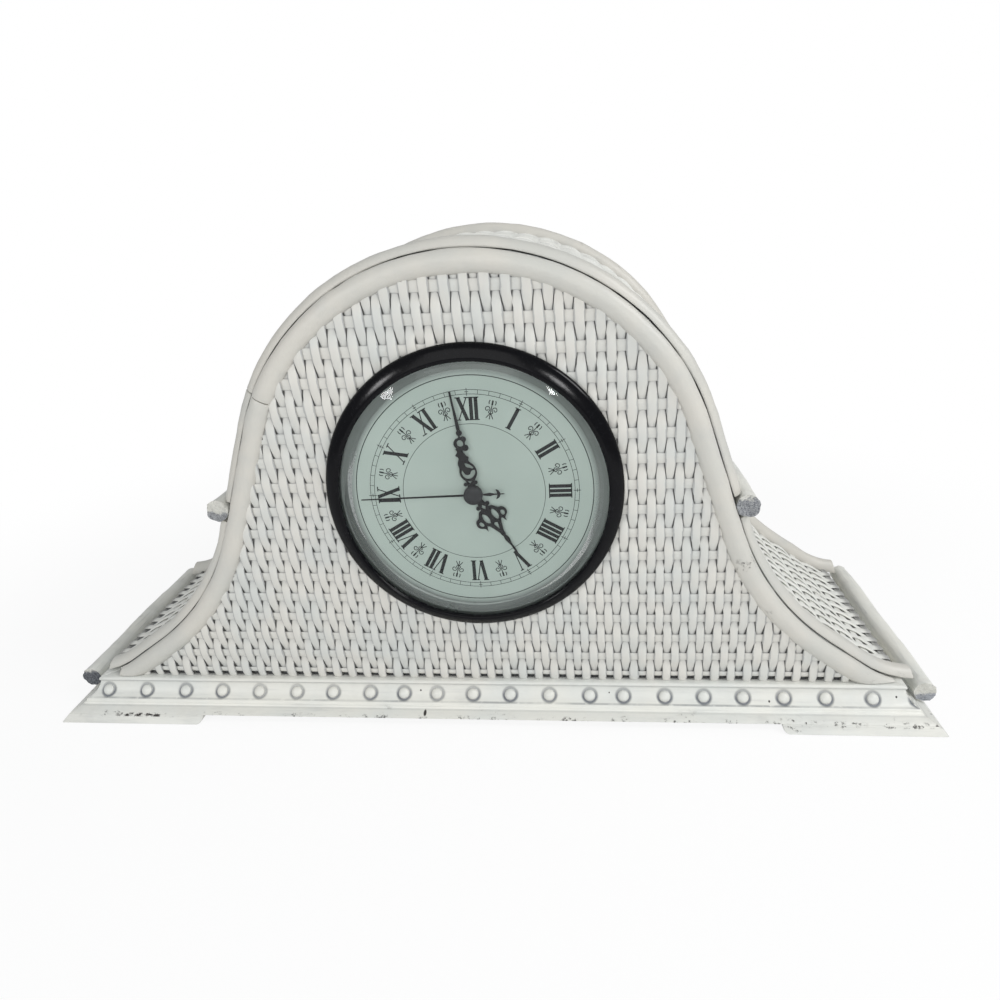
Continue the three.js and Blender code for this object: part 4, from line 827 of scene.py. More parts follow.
def woven_paint():
    coat = Finish("painted_weave", PAINT, 0.46)
    up = coat.wire(coat.node("Attribute", {"attribute_name": "height"}).outputs["Fac"])
    rim = coat.wire(coat.node("Attribute", {"attribute_name": "rim"}).outputs["Fac"])
    fibres = coat.noise(1.0, 4, 0.65, coat.scaled(170, 16, 1, coat.chart()))
    blots = coat.noise(160, 4, 0.6)
    colour = coat.blend(coat.noise(40, 3).ramp(0.35, 0.7), tone(207, 205, 198), tone(198, 200, 196))
    # Painted shade where a strand dives behind a rib, and along the edges of strands and ribs, where the
    # gaps between them fall in shade
    hollow = (up + (blots - 0.5) * 0.4).ramp(0.5, 0.02)
    edge = (rim + (blots - 0.5) * 0.3).ramp(0.84, 1.08)
    x, y, z = coat.axes()
    # The top and side panels are painted lighter, a painted highlight for the light they catch, and carry
    # less painted shade
    behind = y.ramp(FACE + 0.002, FACE + 0.006)
    colour = coat.blend(behind * 0.75, colour, tone(232, 232, 226))
    colour = coat.blend(hollow * (0.45 - behind * 0.3), colour, tone(150, 154, 160))
    colour = coat.blend(edge * (0.5 - behind * 0.42), colour, tone(120, 123, 128))
    # Fibre streaks, stronger where the painted shade lies
    colour = coat.blend(fibres.ramp(0.5, 0.72) * (hollow * 0.8 + 0.12), colour, tone(92, 95, 101))
    # Near-black painted shadow under the weave's bottom row, on the strands that go behind
    lowest_shadow = z.ramp(0.0186, 0.0181) * up.ramp(0.62, 0.4)
    colour = coat.blend(lowest_shadow * 0.95, colour, tone(34, 35, 38))
    # Painted shadow of the foot pole on the weave's ends beside it
    pole_shadow = x.size().ramp(0.1865, 0.1892) * z.ramp(0.0225, 0.0195)
    colour = coat.blend(pole_shadow * (0.9 - up.ramp(0.4, 0.9) * 0.35), colour, tone(46, 48, 53))
    coat.set(Base_Color=colour, Roughness=fibres * 0.2 + 0.38)
    coat.bump(fibres + blots * 0.6, 0.0003, 0.6)
    return coat.material


weave_paint = woven_paint()

# %% Front panel
INSET = STRIP_W - 0.0018
WEAVE_MID = 0.00135
SPREAD = 0.45
LOWEST_RIB = 0.0194
ROW_STEP, ROW_GAIN = 0.0096, 0.000095
WEAVE_LEAN = math.radians(2.5)
DIAL_HOLE = 0.0620


def on_face(u, depth, v):
    """The weave opens out towards the top, and leans a little."""
    row = v / RIB_PITCH - 1
    z = LOWEST_RIB + ROW_STEP * row + ROW_GAIN * row * row
    lean = WEAVE_LEAN + 0.02 * slow_noise(u, v, 4.0, 0.09)
    x = u * (1 + SPREAD * (z - 0.1)) - (z - 0.11) * lean
    return x, FACE - WEAVE_MID - depth, z


def inside_face(x, y, z, margin):
    edge = np.linspace(-S_END - 0.02, S_END + 0.02, 900)
    ex, ez, nx, nz = outline_at(edge)
    ex, ez = ex - nx * INSET, ez - nz * INSET
    order = np.argsort(ex)
    top = np.interp(x, ex[order], ez[order])
    within = (z < top) & (z > PLINTH_TOP - 0.004)
    return within & (x ** 2 + (z - DIAL_UP) ** 2 > DIAL_HOLE ** 2)


def centred(surface, columns):
    shift = (columns - 0.5) * STRAND_PITCH
    return lambda u, depth, v: surface(u - shift, depth, v)


COLUMNS = 50
lay("front_weave", COLUMNS, 10, centred(on_face, COLUMNS), inside_face, 1.0, hung=RIB_PITCH)

# %% Top and shoulder panels
def on_outline(start):
    """Strands run along the outline and ribs from front to back."""
    def place(u, depth, v):
        x, z = laid_toe(start + v, 0.0015 + depth)
        return x, FACE + 0.0094 + u, z
    return place


def panel_between(low, high):
    def keep(x, y, z, margin):
        return (y > FACE + 0.0085) & (y < FACE + DEPTH - 0.0085 - margin) & (z > low) & (z < high)
    return keep


SHORT = 0.0032  # the strands stop before the rear strip, so that a dark line is left beside it
FULL = 1.13  # the strands of the sides are packed closer than those of the face
SIDE_COLUMNS = 13
on_shoulder = panel_between(PLINTH_TOP - 0.004, WAIST_UP - 0.001)
lay("arch_weave", SIDE_COLUMNS, 16, on_outline(-15 * RIB_PITCH),
    panel_between(WAIST_UP - 0.004, 1), 2.0, SHORT, FULL)
lay("shoulder_weave_left", SIDE_COLUMNS, 7, on_outline(-S_END - 1.5 * RIB_PITCH),
    on_shoulder, 3.0, SHORT, FULL)
lay("shoulder_weave_right", SIDE_COLUMNS, 7, on_outline(S_END - 10.5 * RIB_PITCH),
    on_shoulder, 4.0, SHORT, FULL)

# %% [markdown]
# Whole rattan poles run from front to back at the waist and along the plinth's sides. Their ends
# are sawn off and left rough, with the grey pith showing. A ring is extruded along the pole, and
# swells a little at the cane's joints. The sawn face is inset, and its own finish is the bare one.
# Each foot pole lies on the ends of the weave, so it rises a little towards the back.

# %% Rattan poles
def sawn_coat(name, dark, light, middle, bare_to):
    """A sawn end, bare up to a height over the pole's middle and painted above it."""
    pith = Finish(name, dark, 0.85)
    x, y, z = pith.axes()
    crumbs = pith.noise(1300, 5, 0.8)
    lumps = pith.noise(330, 3, 0.6)
    cells = pith.node("TexVoronoi", {}, {"Vector": pith.place, "Scale": 1500.0})
    pores = pith.wire(cells.outputs["Distance"])
    colour = pith.blend(crumbs.ramp(0.36, 0.64), dark, light)
    colour = pith.blend(pores.ramp(0.25, 0.05) * 0.6, colour, tone(48, 50, 55))
    edge = z + (lumps - 0.5) * 0.006
    paint = edge.ramp(middle.z + bare_to - 0.001, middle.z + bare_to + 0.001)
    colour = pith.blend(paint * crumbs.ramp(0.25, 0.45), colour, PAINT)
    pith.set(Base_Color=colour)
    return pith.bump(crumbs - pores * 0.5 + lumps, 0.0008, 1.0).material


grit = bpy.data.textures.new("sawn_grit", "CLOUDS")
grit.noise_scale = 0.0028
grit.noise_depth = 3
# Each pole's joints along its length, how much it swells and bows, how its front end flares, the
# dark and light of its sawn end, and how high over its middle that end is bare
POLE_LIKES = {
    "waist_pole_left": ((0.16, 0.62), 0.04, 0.0, 0.10, tone(112, 114, 118), tone(178, 180, 182), -0.001),
    "waist_pole_right": ((0.34, 0.86), 0.03, 0.0, 0.13, tone(104, 107, 113), tone(184, 186, 188), 0.0034),
    "foot_pole_left": ((0.22, 0.71), 0.1, 0.0, 0.03, tone(62, 65, 71), tone(128, 131, 137), 0.0038),
    "foot_pole_right": ((0.3, 0.8), 0.1, 0.0, 0.08, tone(140, 144, 152), tone(186, 189, 194), -0.0012),
}
# How far a foot pole is pushed across and up by the ends of the weave, and over what length
POLE_RIDES = {"foot_pole_left": (0.0008, 0.0013, 0.06), "foot_pole_right": (-0.0012, 0.0019, 0.05)}


def pole_ring_places(length):
    """Rings along a pole, closer at its ends, where the saw has left them rough."""
    close = [0.0008, 0.0017, 0.0028, 0.0043, 0.0065]
    even = [float(t) for t in np.linspace(0.009, length - 0.009, 40)]
    return close + even + [length - t for t in close[::-1]] + [length]


def cane_pole(name, low, high):
    joints, swell, aside, flare, dark, light, bare_to = POLE_LIKES[name]
    middle = (low + high) / 2
    front = low.y + (0.0045 if name == "foot_pole_left" else 0.0)
    back = high.y
    put_down()
    bpy.ops.mesh.primitive_circle_add(vertices=36, radius=POLE_R * (1 + flare),
                                      location=(middle.x, front, middle.z),
                                      rotation=(math.pi / 2, 0, 0))
    cane = settle(named(name + "_cane"))
    pick(cane)
    inwards, upwards, reach = POLE_RIDES.get(name, (0.0, 0.0, 1.0))
    girth, before = 1 + flare, Vector((0, 0, 0))
    for place in pole_ring_places(back - front):
        t = place / (back - front)
        ride = 1 - math.exp(-(place / reach) ** 1.3)
        bow = 0.0004 * math.sin(9 * t) + aside * math.sin(math.pi * t) + inwards * ride
        now = Vector((bow, place, upwards * ride))
        extrude(now - before)
        here = (1 + swell * math.sin(math.pi * t) + flare * math.exp(-place / 0.004)
                + 0.035 * sum(math.exp(-((t - j) / 0.018) ** 2) for j in joints))
        bpy.ops.transform.resize(value=(here / girth, 1, here / girth))
        girth, before = here, now
    put_down()
    tidy(cane)
    for end in (front, back):
        pick(cane, lambda f: abs(f.center.y - end) < 1e-6, "FACE")
        bpy.ops.mesh.inset(thickness=0.0006)
        for _ in range(3):
            bpy.ops.mesh.inset(thickness=0.0011)
        bpy.ops.mesh.poke()
        put_down()
    dress(cane, pole_paint, "painted_rattan", "case", name)
    cane.data.materials.append(sawn_coat("sawn_" + name, dark, light, middle, bare_to))
    for face in cane.data.polygons:
        face.material_index = int(min(abs(face.center.y - front), abs(face.center.y - back)) < 1e-5)
    ends = cane.vertex_groups.new(name="ends")
    for v in cane.data.vertices:
        ends.add([v.index], math.exp(-min(abs(v.co.y - front), abs(v.co.y - back)) / 0.0022), "REPLACE")
    roughen(cane, grit, 0.0021, vertex_group="ends")
    roughen(cane, waves, 0.0011)
    smooth(cane, 50)


for name in POLE_LIKES:
    cane_pole(name, *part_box(name))
print("poles", len(POLE_LIKES))

# %% [markdown]
# The plinth is framed by a moulding with a cove, two small ridges and a sloping foot. Its section
# is drawn as one line by extruding a point, then the line is extruded along each side and cut at
# 45 degrees where two sides meet. The beads are pressed into the cove of the front run only, each
# a small dome in a round groove. One dome is shaped from a sphere and copied along the row.

# %% Paint of the plinth
PLINTH_HALF, PLINTH_FACE = 0.185, FACE + 0.0018
PLINTH_REAR = FACE + 0.116
BEAD_TILT = math.radians(36)
BEAD_R, BEAD_Y, BEAD_Z = 0.00265, PLINTH_FACE - 0.0085, 0.0104
BEADS_AT = (-187.3, -167.5, -147.5, -128.8, -110.0, -91.3, -73.3, -55.0, -38.5, -22.6, -5.3,
            12.4, 30.8, 49.7, 65.3, 84.3, 102.0, 119.7, 138.0, 156.5, 177.2, 196.4)
NAILS_AT = ((-30.5, 11.6, 0.5), (58.8, 11.6, 0.4), (-27.6, 4.7, 0.85), (131.4, 9.1, 0.5),
            (187.6, 11.2, 0.55), (202.0, 3.0, 1.0))


def plinth_coat(name, beaded):
    """White paint with a grey line of painted shade in each hollow of the moulding, and rubbed feet."""
    coat, colour, height = brushed(name, lambda c: c.scaled(30, 240, 420), 0.22)
    x, y, z = coat.axes()
    uneven = coat.noise(28, 3)
    broken = (uneven.ramp(0.42, 0.6) * 0.6 + 0.3) * coat.noise(260, 3).ramp(0.25, 0.5)
    # Painted shade: grey lines under the top fillet, along the ledge and at the step, where the
    # moulding's edges shade the hollows below them
    ledge_shade = ((z - 0.00785).size()).ramp(0.0003, 0.0001) * broken
    under_top_shadow = ((z - 0.0147).size()).ramp(0.0007, 0.0002) * 0.4
    step = ((z - 0.0054).size()).ramp(0.0003, 0.0001) * 0.3
    # A little darker below 5.5 mm; the cove and all above it are toned down, painted shade that dims them
    # against the front lamp
    colour = coat.blend(z.ramp(0.0055, 0.005) * 0.12, colour, WASH_AND_SHADE)
    colour = coat.blend(z.ramp(0.0076, 0.009) * 0.1, colour, WASH_AND_SHADE)
    colour = coat.blend(ledge_shade.most(under_top_shadow).most(step) * 0.65, colour, tone(112, 115, 120))
    near_seam = ((z - 0.0034).size()).ramp(0.0011, 0.0004)
    worn_foot = (x + 0.167).size().ramp(0.0135, 0.0105) * ((z - 0.0033).size()).ramp(0.0007, 0.0003)
    streaks = coat.noise(1.0, 4, 0.7, coat.scaled(330, 60, 700)).ramp(0.47, 0.56)
    # Painted shadow of the foot pole on the plinth beside it
    pole_shadow = x.size().ramp(0.1878, 0.1886) * z.ramp(0.0148, 0.0156)
    pole_shadow = pole_shadow * y.ramp(FACE + 0.001, FACE + 0.006)
    colour = coat.blend(pole_shadow * 0.85, colour, tone(72, 74, 79))
    rubbed = chipped(coat, near_seam, 0.42) + chipped(coat, z.ramp(0.0075, 0.0025), 0.58)
    rubbed = (rubbed * 0.8).most(worn_foot * streaks)
    colour = coat.blend(rubbed, colour, BARE)
    height = height - rubbed
    if beaded:
        aside = (x - BEADS_AT[0] * mm).size()
        for place in BEADS_AT[1:]:
            aside = aside.least((x - place * mm).size())
        up = (y - BEAD_Y) * math.sin(BEAD_TILT) + (z - BEAD_Z) * math.cos(BEAD_TILT)
        reach = (aside * aside + up * up).root()
        groove = reach.ramp(0.0024, 0.0029) * reach.ramp(0.0043, 0.0031)
        # Painted shade in a ring groove round each bead, darker on its lower side
        groove_shade = groove * (uneven.ramp(0.3, 0.55) * 0.4 + 0.6) * (up.ramp(0.0032, -0.001) * 0.45 + 0.55)
        colour = coat.blend(groove_shade * 0.9, colour, tone(92, 97, 106))
        height = height - groove * 1.6
        for a, b, size in NAILS_AT:
            spot_off = ((x - a * mm) * (x - a * mm) + (z - b * mm) * (z - b * mm)).root()
            nail = spot_off.ramp(size * mm, size * 0.6 * mm)
            colour = coat.blend(nail, colour, BARE)
    coat.set(Base_Color=colour)
    return coat.bump(height, 0.0003, 0.8)


plinth_paint = plinth_coat("painted_wood", False).material
beaded_paint = plinth_coat("beaded_wood", True).material
print("paint", plinth_paint.name, beaded_paint.name)

# %% Mouldings
# Out from the plinth box and up from the table, in millimetres
SECTION = ((0, 3.3), (18.4, 3.3), (18.5, 3.5), (16.6, 4.35), (14.5, 5.3), (13.7, 5.5), (13.4, 6.2),
           (12.6, 6.6), (12.5, 7.3), (11.9, 7.75), (10.9, 8.1), (9.9, 8.75), (8.8, 9.9), (8.0, 11.1),
           (7.4, 12.4), (7.0, 13.6), (6.8, 14.4), (7.2, 14.8), (7.3, 15.4), (7.1, 15.9), (6.4, 16.3),
           (0, 16.3))


def drawn(name, points):
    """One edge line through the points, started as a plane merged to a point and extruded on."""
    put_down()
    bpy.ops.mesh.primitive_plane_add(size=0.001, location=points[0])
    line = settle(named(name))
    pick(line)
    bpy.ops.mesh.merge(type="CENTER")
    for before, after in zip(points, points[1:]):
        step = Vector(after) - Vector(before)
        bpy.ops.mesh.extrude_vertices_move(TRANSFORM_OT_translate={"value": step})
    put_down()
    return line


def moulding(name, corner, out, run, mitres, under, paint):
    """corner is on the plinth box at table height, out points away from it and run along it."""
    points = [corner + out * (a * mm) + Vector((0, 0, b * mm)) for a, b in SECTION]
    bar = drawn(name, points + points[:1])
    pick(bar)
    bpy.ops.mesh.remove_doubles(threshold=1e-6)
    bpy.ops.mesh.select_all(action="SELECT")
    steps = 40
    for _ in range(steps):
        extrude(run / steps)
    put_down()
    tidy(bar)
    for at, way in mitres:
        pick(bar)
        saw(at, way, use_fill=True)
    put_down()
    tidy(bar)
    modify(bar, "BEVEL", width=0.0003, segments=2, limit_method="ANGLE", angle_limit=math.radians(14))
    dress(smooth(bar, 60), paint, "painted_wood", "case", under)


LEFT_CORNER = Vector((-PLINTH_HALF, PLINTH_FACE, 0))
RIGHT_CORNER = Vector((PLINTH_HALF, PLINTH_FACE, 0))
half_gap = Vector((0.00012, 0, 0))
left_cut, right_cut = Vector((-1, 1, 0)).normalized(), Vector((1, 1, 0)).normalized()
moulding("front_moulding_bar", LEFT_CORNER - Vector((0.02, 0, 0)), Vector((0, -1, 0)),
         Vector((0.41, 0, 0)),
         ((LEFT_CORNER + half_gap, left_cut), (RIGHT_CORNER - half_gap, right_cut)),
         "front_moulding", beaded_paint)
depth_run = Vector((0, PLINTH_REAR - PLINTH_FACE + 0.02, 0))
moulding("side_moulding_left_bar", LEFT_CORNER - Vector((0, 0.02, 0)), Vector((-1, 0, 0)), depth_run,
         ((LEFT_CORNER - half_gap, -left_cut),), "side_moulding_left", plinth_paint)
moulding("side_moulding_right_bar", RIGHT_CORNER - Vector((0, 0.02, 0)), Vector((1, 0, 0)), depth_run,
         ((RIGHT_CORNER + half_gap, -right_cut),), "side_moulding_right", plinth_paint)

# %% Beads
bead_out = Vector((0, -math.cos(BEAD_TILT), math.sin(BEAD_TILT)))
put_down()
bpy.ops.mesh.primitive_uv_sphere_add(segments=28, ring_count=14, radius=BEAD_R)
dome = named("bead_dome")
pick(dome, lambda v: v.co.z < -1e-5)
bpy.ops.mesh.delete(type="VERT")
put_down()
tidy(dome)
dome.scale = (1, 1, 0.62)
settle(dome)
beads = []
for place in BEADS_AT:
    x = place * mm
    bead = bpy.data.objects.new("bead", dome.data.copy())
    bpy.context.collection.objects.link(bead)
    bead.rotation_euler = bead_out.to_track_quat("Z", "Y").to_euler()
    bead.location = (x, BEAD_Y, BEAD_Z)
    settle(bead)
    if place == BEADS_AT[-1]:
        pick(bead)
        saw(RIGHT_CORNER - half_gap, right_cut, use_fill=True)
        put_down()
    beads.append(bead)
bpy.data.objects.remove(dome)
bead_row = join("bead_row", beads)
dress(smooth(bead_row, 50), beaded_paint, "painted_wood")
print("beads", len(BEADS_AT), "faces", len(bead_row.data.polygons))

# %% [markdown]
# The bracket feet keep the shape of their solids, but a sawn and painted foot has soft edges. A
# copy of each is merged into clean faces, and its edges get a small bevel.

# %% Feet
TOP_UP = 0.4 * mm  # each foot reaches into its moulding, so that no seam shows


def bracket(under):
    copy = bpy.data.objects.new(under + "_bracket", nodes[under].data.copy())
    bpy.context.collection.objects.link(copy)
    copy.data.materials.clear()
    pick(copy)
    bpy.ops.mesh.remove_doubles(threshold=1e-6)
    bpy.ops.mesh.dissolve_limited(angle_limit=math.radians(1))
    put_down()
    top = max(v.co.z for v in copy.data.vertices)
    pick(copy, lambda v: v.co.z > top - 0.0002)
    bpy.ops.transform.translate(value=(0, 0, TOP_UP))
    put_down()
    modify(copy, "BEVEL", width=0.0005, segments=3, limit_method="ANGLE", angle_limit=math.radians(30))
    dress(smooth(copy, 35), plinth_paint, "painted_wood", "case", under)


FEET = ("foot_front_left", "foot_front_right", "foot_rear_left", "foot_rear_right")
for foot in FEET:
    bracket(foot)
print("feet", len(FEET))

# %% [markdown]
# The clock itself is an insert: a black ring, a clear lens with a bevelled rim, a pale silver ring
# that slopes down to the dial, and the printed dial. All are round, so each is a section spun
# about the dial's middle. The bevel and the slope catch the lamps, and give the rim its bright
# and dark arcs.

# %% Turned rings of the insert
AXIS = Vector((0, 0, DIAL_UP))


def turned(name, section, steps=128, closed=True):
    """Spin a section of (radius, depth behind the board's face), in millimetres."""
    points = [Vector((r * mm, FACE + y * mm, DIAL_UP)) for r, y in section]
    made = drawn(name, points + (points[:1] if closed else []))
    pick(made)
    bpy.ops.mesh.remove_doubles(threshold=1e-7)
    bpy.ops.mesh.select_all(action="SELECT")
    bpy.ops.mesh.spin(steps=steps, angle=2 * math.pi, center=AXIS, axis=(0, 1, 0))
    put_down()
    return tidy(made, 2e-6)


def black_gloss():
    ring = Finish("black_ring", tone(8, 8, 10), 0.3)
    ring.set(Specular_IOR_Level=0.14)
    dust = ring.noise(700, 3, 0.7)
    ring.set(Base_Color=ring.blend(dust.ramp(0.5, 0.9) * 0.25, tone(7, 7, 10), tone(46, 48, 52)),
             Roughness=dust * 0.1 + 0.1)
    return ring.bump(ring.noise(240, 3), 0.0001, 0.25).material


def silver():
    plate = Finish("silver_ring", tone(120, 125, 123), 0.35, Metallic=0.6)
    lathe_marks = plate.noise(40, 3, 0.6)
    colour = plate.blend(lathe_marks, tone(108, 113, 111), tone(132, 137, 134))
    plate.set(Base_Color=colour, Roughness=lathe_marks * 0.16 + 0.22)
    return plate.material


def clear():
    pane = Finish("clear_lens", (1, 1, 1, 1), 0.03)
    gloss = pane.node("BsdfGlossy", {}, {"Color": (1, 1, 1, 1), "Roughness": 0.04})
    through = pane.node("BsdfTransparent", {}, {"Color": (0.985, 0.995, 0.992, 1)})
    edge = pane.wire(pane.node("Fresnel", {}, {"IOR": 1.45}).outputs[0])
    smears = pane.noise(60, 4, 0.7).ramp(0.55, 0.9)
    shine = edge * 0.45 + smears * 0.008
    both = pane.node("MixShader", {}, {0: shine, 1: through.outputs[0], 2: gloss.outputs[0]})
    pane.feed(pane.end.inputs["Surface"], both.outputs[0])
    return pane.material


ring_black, ring_silver, lens_clear = black_gloss(), silver(), clear()
bezel = turned("bezel_ring", (
    (64.3, -2.5), (64.4, -3.2), (64.1, -4.1), (63.5, -4.8), (62.6, -5.4), (61.2, -6.05),
    (59.8, -6.65), (59.1, -6.8), (58.4, -6.6), (57.9, -5.9), (57.9, -5.1), (59.9, -5.1),
    (59.9, 7), (61, 7), (61, -2.5)))
# The ring sits unevenly: its rim is raised by a millimetre, and more of it shows over the dial
rim = points_of(bezel)
across = np.hypot(rim[:, 0], rim[:, 2] - DIAL_UP)
rim[:, 2] += 0.001 * np.clip((across - 0.059) / 0.004, 0, 1) * (rim[:, 1] < FACE - 0.0024)
give_points(bezel, rim)
dress(smooth(bezel, 40), ring_black, "black_ring", "case", "bezel")
lens = turned("lens_pane", (
    (0, -6.7), (30, -6.7), (52.6, -6.7), (53.1, -6.6), (57.2, -4.9), (57.6, -4.8), (59.3, -4.8),
    (59.3, -3.3), (57.4, -3.3), (56.9, -3.4), (52.2, -6.1), (30, -6.1), (0, -6.1)), closed=False)
dress(smooth(lens, 25), lens_clear, "clear_lens", "case", "lens")
spacer = turned("dial_spacer_ring", (
    (59.3, -3.0), (57.8, -3.0), (57.4, -2.9), (54.1, -1.2), (54, -0.9), (54, 0.9), (59.3, 0.9)))
dress(smooth(spacer, 40), ring_silver, "silver_ring", "case", "dial_spacer")
print("insert rings", [len(p.data.polygons) for p in (bezel, lens, spacer)])

# %% [markdown]
# The dial is a thin plate in a matt grey green, with a printed numeral ring: two rings for the
# minutes, sixty fine marks, Roman numerals with their feet to the middle, and a small scroll
# ornament between each pair. Print can be painted by a shader or laid on as thin ink. Thin ink
# keeps its edges sharp in any close look, so every stroke is a sliver of a box, 0.02 mm proud.

# %% Dial print
INK = 0.00002
DIAL_FACE = FACE - 0.0010
DIAL_TURN = math.radians(0.9)


def printed_plate():
    plate = Finish("printed_dial", tone(188, 199, 193), 0.55)
    grain = plate.noise(1500, 3, 0.7)
    cloud = plate.noise(18, 3)
    x, y, z = plate.axes()
    up = z - DIAL_UP
    radius = (x * x + up * up).root()
    colour = plate.blend(cloud.ramp(0.3, 0.75), tone(168, 180, 173), tone(176, 187, 180))
    # Painted shade near the dial's rim, where the black ring shades it
    colour = plate.blend(radius.ramp(0.0505, 0.0545) * 0.9, colour, tone(118, 124, 121))
    plate.set(Base_Color=colour, Roughness=grain * 0.15 + 0.42)
    return plate.bump(grain, 0.00004, 0.25).material


def printed_ink():
    ink = Finish("dial_ink", tone(20, 22, 24), 0.5)
    ink.set(Specular_IOR_Level=0.2)
    ink.set(Base_Color=ink.blend(ink.noise(900, 3).ramp(0.3, 0.8), tone(16, 17, 19), tone(34, 37, 38)))
    return ink.material


dial_paint, dial_ink = printed_plate(), printed_ink()
plate = turned("dial_plate", ((0, -1.0), (26, -1.0), (54, -1.0), (54, 1.6), (0, 1.6)), closed=False)
dress(smooth(plate, 40), dial_paint, "printed_dial", "case", "dial")


class Pen:
    """Draws strokes on the dial as thin boxes, in millimetres: across, and out from the middle."""
    def __init__(self, name):
        put_down()
        bpy.ops.mesh.primitive_cube_add(size=1e-5, location=(0, DIAL_FACE, DIAL_UP))
        self.sheet = settle(named(name))
        pick(self.sheet, lambda v: True)
        self.turn, self.out, self.shift = 0.0, 0.0, 0.0

    def at(self, hour_angle, out=0.0, shift=0.0):
        self.turn, self.out, self.shift = hour_angle, out, shift
        return self

    def point(self, a, b):
        a, b = a + self.shift, b + self.out
        c, s = math.cos(self.turn), math.sin(self.turn)
        return Vector((a * c + b * s, b * c - a * s))

    def stroke(self, a0, b0, a1, b1, width):
        start, end = self.point(a0, b0), self.point(a1, b1)
        way = end - start
        middle = (start + end) / 2
        bpy.ops.mesh.primitive_cube_add(
            size=1, location=(middle.x * mm, DIAL_FACE - INK / 2, DIAL_UP + middle.y * mm),
            rotation=(0, -math.atan2(way.y, way.x), 0), scale=(way.length * mm, INK, width * mm))

    def line(self, points, width):
        for (a0, b0), (a1, b1) in zip(points, points[1:]):
            self.stroke(a0, b0, a1, b1, width)

    def done(self):
        put_down()
        return self.sheet


TALL, FOOT = 9.8, 32.5
THICK, THIN = 1.55, 0.46


def letter_i(pen, at):
    pen.stroke(at, 0, at, TALL, THICK)
    for b in (0.16, TALL - 0.16):
        pen.stroke(at - 1.25, b, at + 1.25, b, THIN)


def letter_v(pen, at):
    pen.stroke(at - 1.75, TALL, at + 0.1, 0, THICK)
    pen.stroke(at + 2.0, TALL, at + 0.3, 0.1, THIN)
    pen.stroke(at - 3.0, TALL - 0.16, at - 0.6, TALL - 0.16, THIN)
    pen.stroke(at + 1.2, TALL - 0.16, at + 2.8, TALL - 0.16, THIN)


def letter_x(pen, at):
    pen.stroke(at - 1.8, TALL, at + 1.8, 0, THICK)
    pen.stroke(at + 1.8, TALL, at - 1.8, 0, THIN)
    for side in (-1, 1):
        for b in (0.16, TALL - 0.16):
            pen.stroke(at + side * 1.9 - 1.1, b, at + side * 1.9 + 1.1, b, THIN)


LETTERS = {"I": (letter_i, 1.05), "V": (letter_v, 2.5), "X": (letter_x, 2.5)}
HOURS = ("XII", "I", "II", "III", "IIII", "V", "VI", "VII", "VIII", "IX", "X", "XI")
pen = Pen("dial_numerals")
for hour, word in enumerate(HOURS):
    width = sum(2 * LETTERS[c][1] for c in word)
    pen.at(math.radians(30 * hour) - DIAL_TURN, FOOT, -width / 2)
    along = 0.0
    for c in word:
        draw, half = LETTERS[c]
        draw(pen, along + half)
        along += 2 * half
numerals = pen.done()

pen = Pen("dial_minutes")
for minute in range(60):
    pen.at(math.radians(6 * minute) - DIAL_TURN)
    if minute % 5:
        pen.stroke(0, 43.63, 0, 45.46, 0.2)
    else:
        pen.stroke(0, 42.9, 0, 46.2, 0.26)
        pen.stroke(-0.8, 44.55, 0.8, 44.55, 0.26)
minutes = pen.done()


def scroll(pen):
    """A spear with two dashes beside it, two curls and three short tails."""
    pen.line([(0, 1.6), (0, 7.2)], 0.36)
    pen.line([(0, 6.6), (0, 8.6)], 0.72)
    for side in (-1, 1):
        pen.line([(side * 1.3, 6.8), (side * 1.5, 7.7), (side * 1.2, 8.6)], 0.42)
        curl = []
        for k in range(13):
            a = math.radians(-60 + 36 * k)
            r = 1.45 - 0.085 * k
            curl.append((side * (1.75 - 0.1 + r * math.cos(math.pi - a) * 0.9), 4.6 + r * math.sin(a)))
        pen.line([(0, 2.6)] + curl, 0.36)
        pen.line([(side * 0.25, 2.8), (side * 1.5, 0.7)], 0.36)
    pen.line([(0, 2.8), (0, 0.4)], 0.38)


pen = Pen("dial_scrolls").at(0, 33.3)
scroll(pen)
pattern = pen.done()
scrolls = []
for k in range(12):
    copy = bpy.data.objects.new("scroll_%d" % k, pattern.data.copy())
    bpy.context.collection.objects.link(copy)
    turn = Matrix.Rotation(math.radians(15 + 30 * k) - DIAL_TURN, 4, "Y")
    copy.data.transform(Matrix.Translation(AXIS) @ turn @ Matrix.Translation(-AXIS))
    scrolls.append(copy)
bpy.data.objects.remove(pattern)
ornaments = join("dial_ornaments", scrolls)

rings = []
for inner, outer in ((30.84, 31.06), (43.52, 43.74), (45.35, 45.57), (51.38, 51.76)):
    rings.append(turned("dial_ring", ((inner, -1.0), (outer, -1.0), (outer, -1.02), (inner, -1.02))))
print_rings = join("dial_rings", rings)
for sheet in (numerals, minutes, ornaments, print_rings):
    dress(sheet, dial_ink, "printed_dial")
print("ink", [len(p.data.polygons) for p in (numerals, minutes, ornaments, print_rings)])

# %% [markdown]
# The hands are stamped from thin sheet, so their solids already have the right shape and sharp
# edges, and only need black paint. The round cap over them is turned and slightly domed, and a
# smooth one is spun over the plain cap of the second hand.

# %% Finishes of the other solids
def plain(name, colour, second, rough, scale, metal=0.0, bump=0.00008, stretch=(1, 1, 1)):
    made = Finish(name, colour, rough, Metallic=metal)
    made.set(Specular_IOR_Level=0.15 if max(colour[:3]) < 0.05 else 0.5)
    grain = made.noise(scale, 4, 0.6, made.scaled(*stretch))
    made.set(Base_Color=made.blend(grain.ramp(0.3, 0.75), colour, second),
             Roughness=(grain - 0.5) * 0.25 + rough)
    return made.bump(grain, bump, 0.5).material


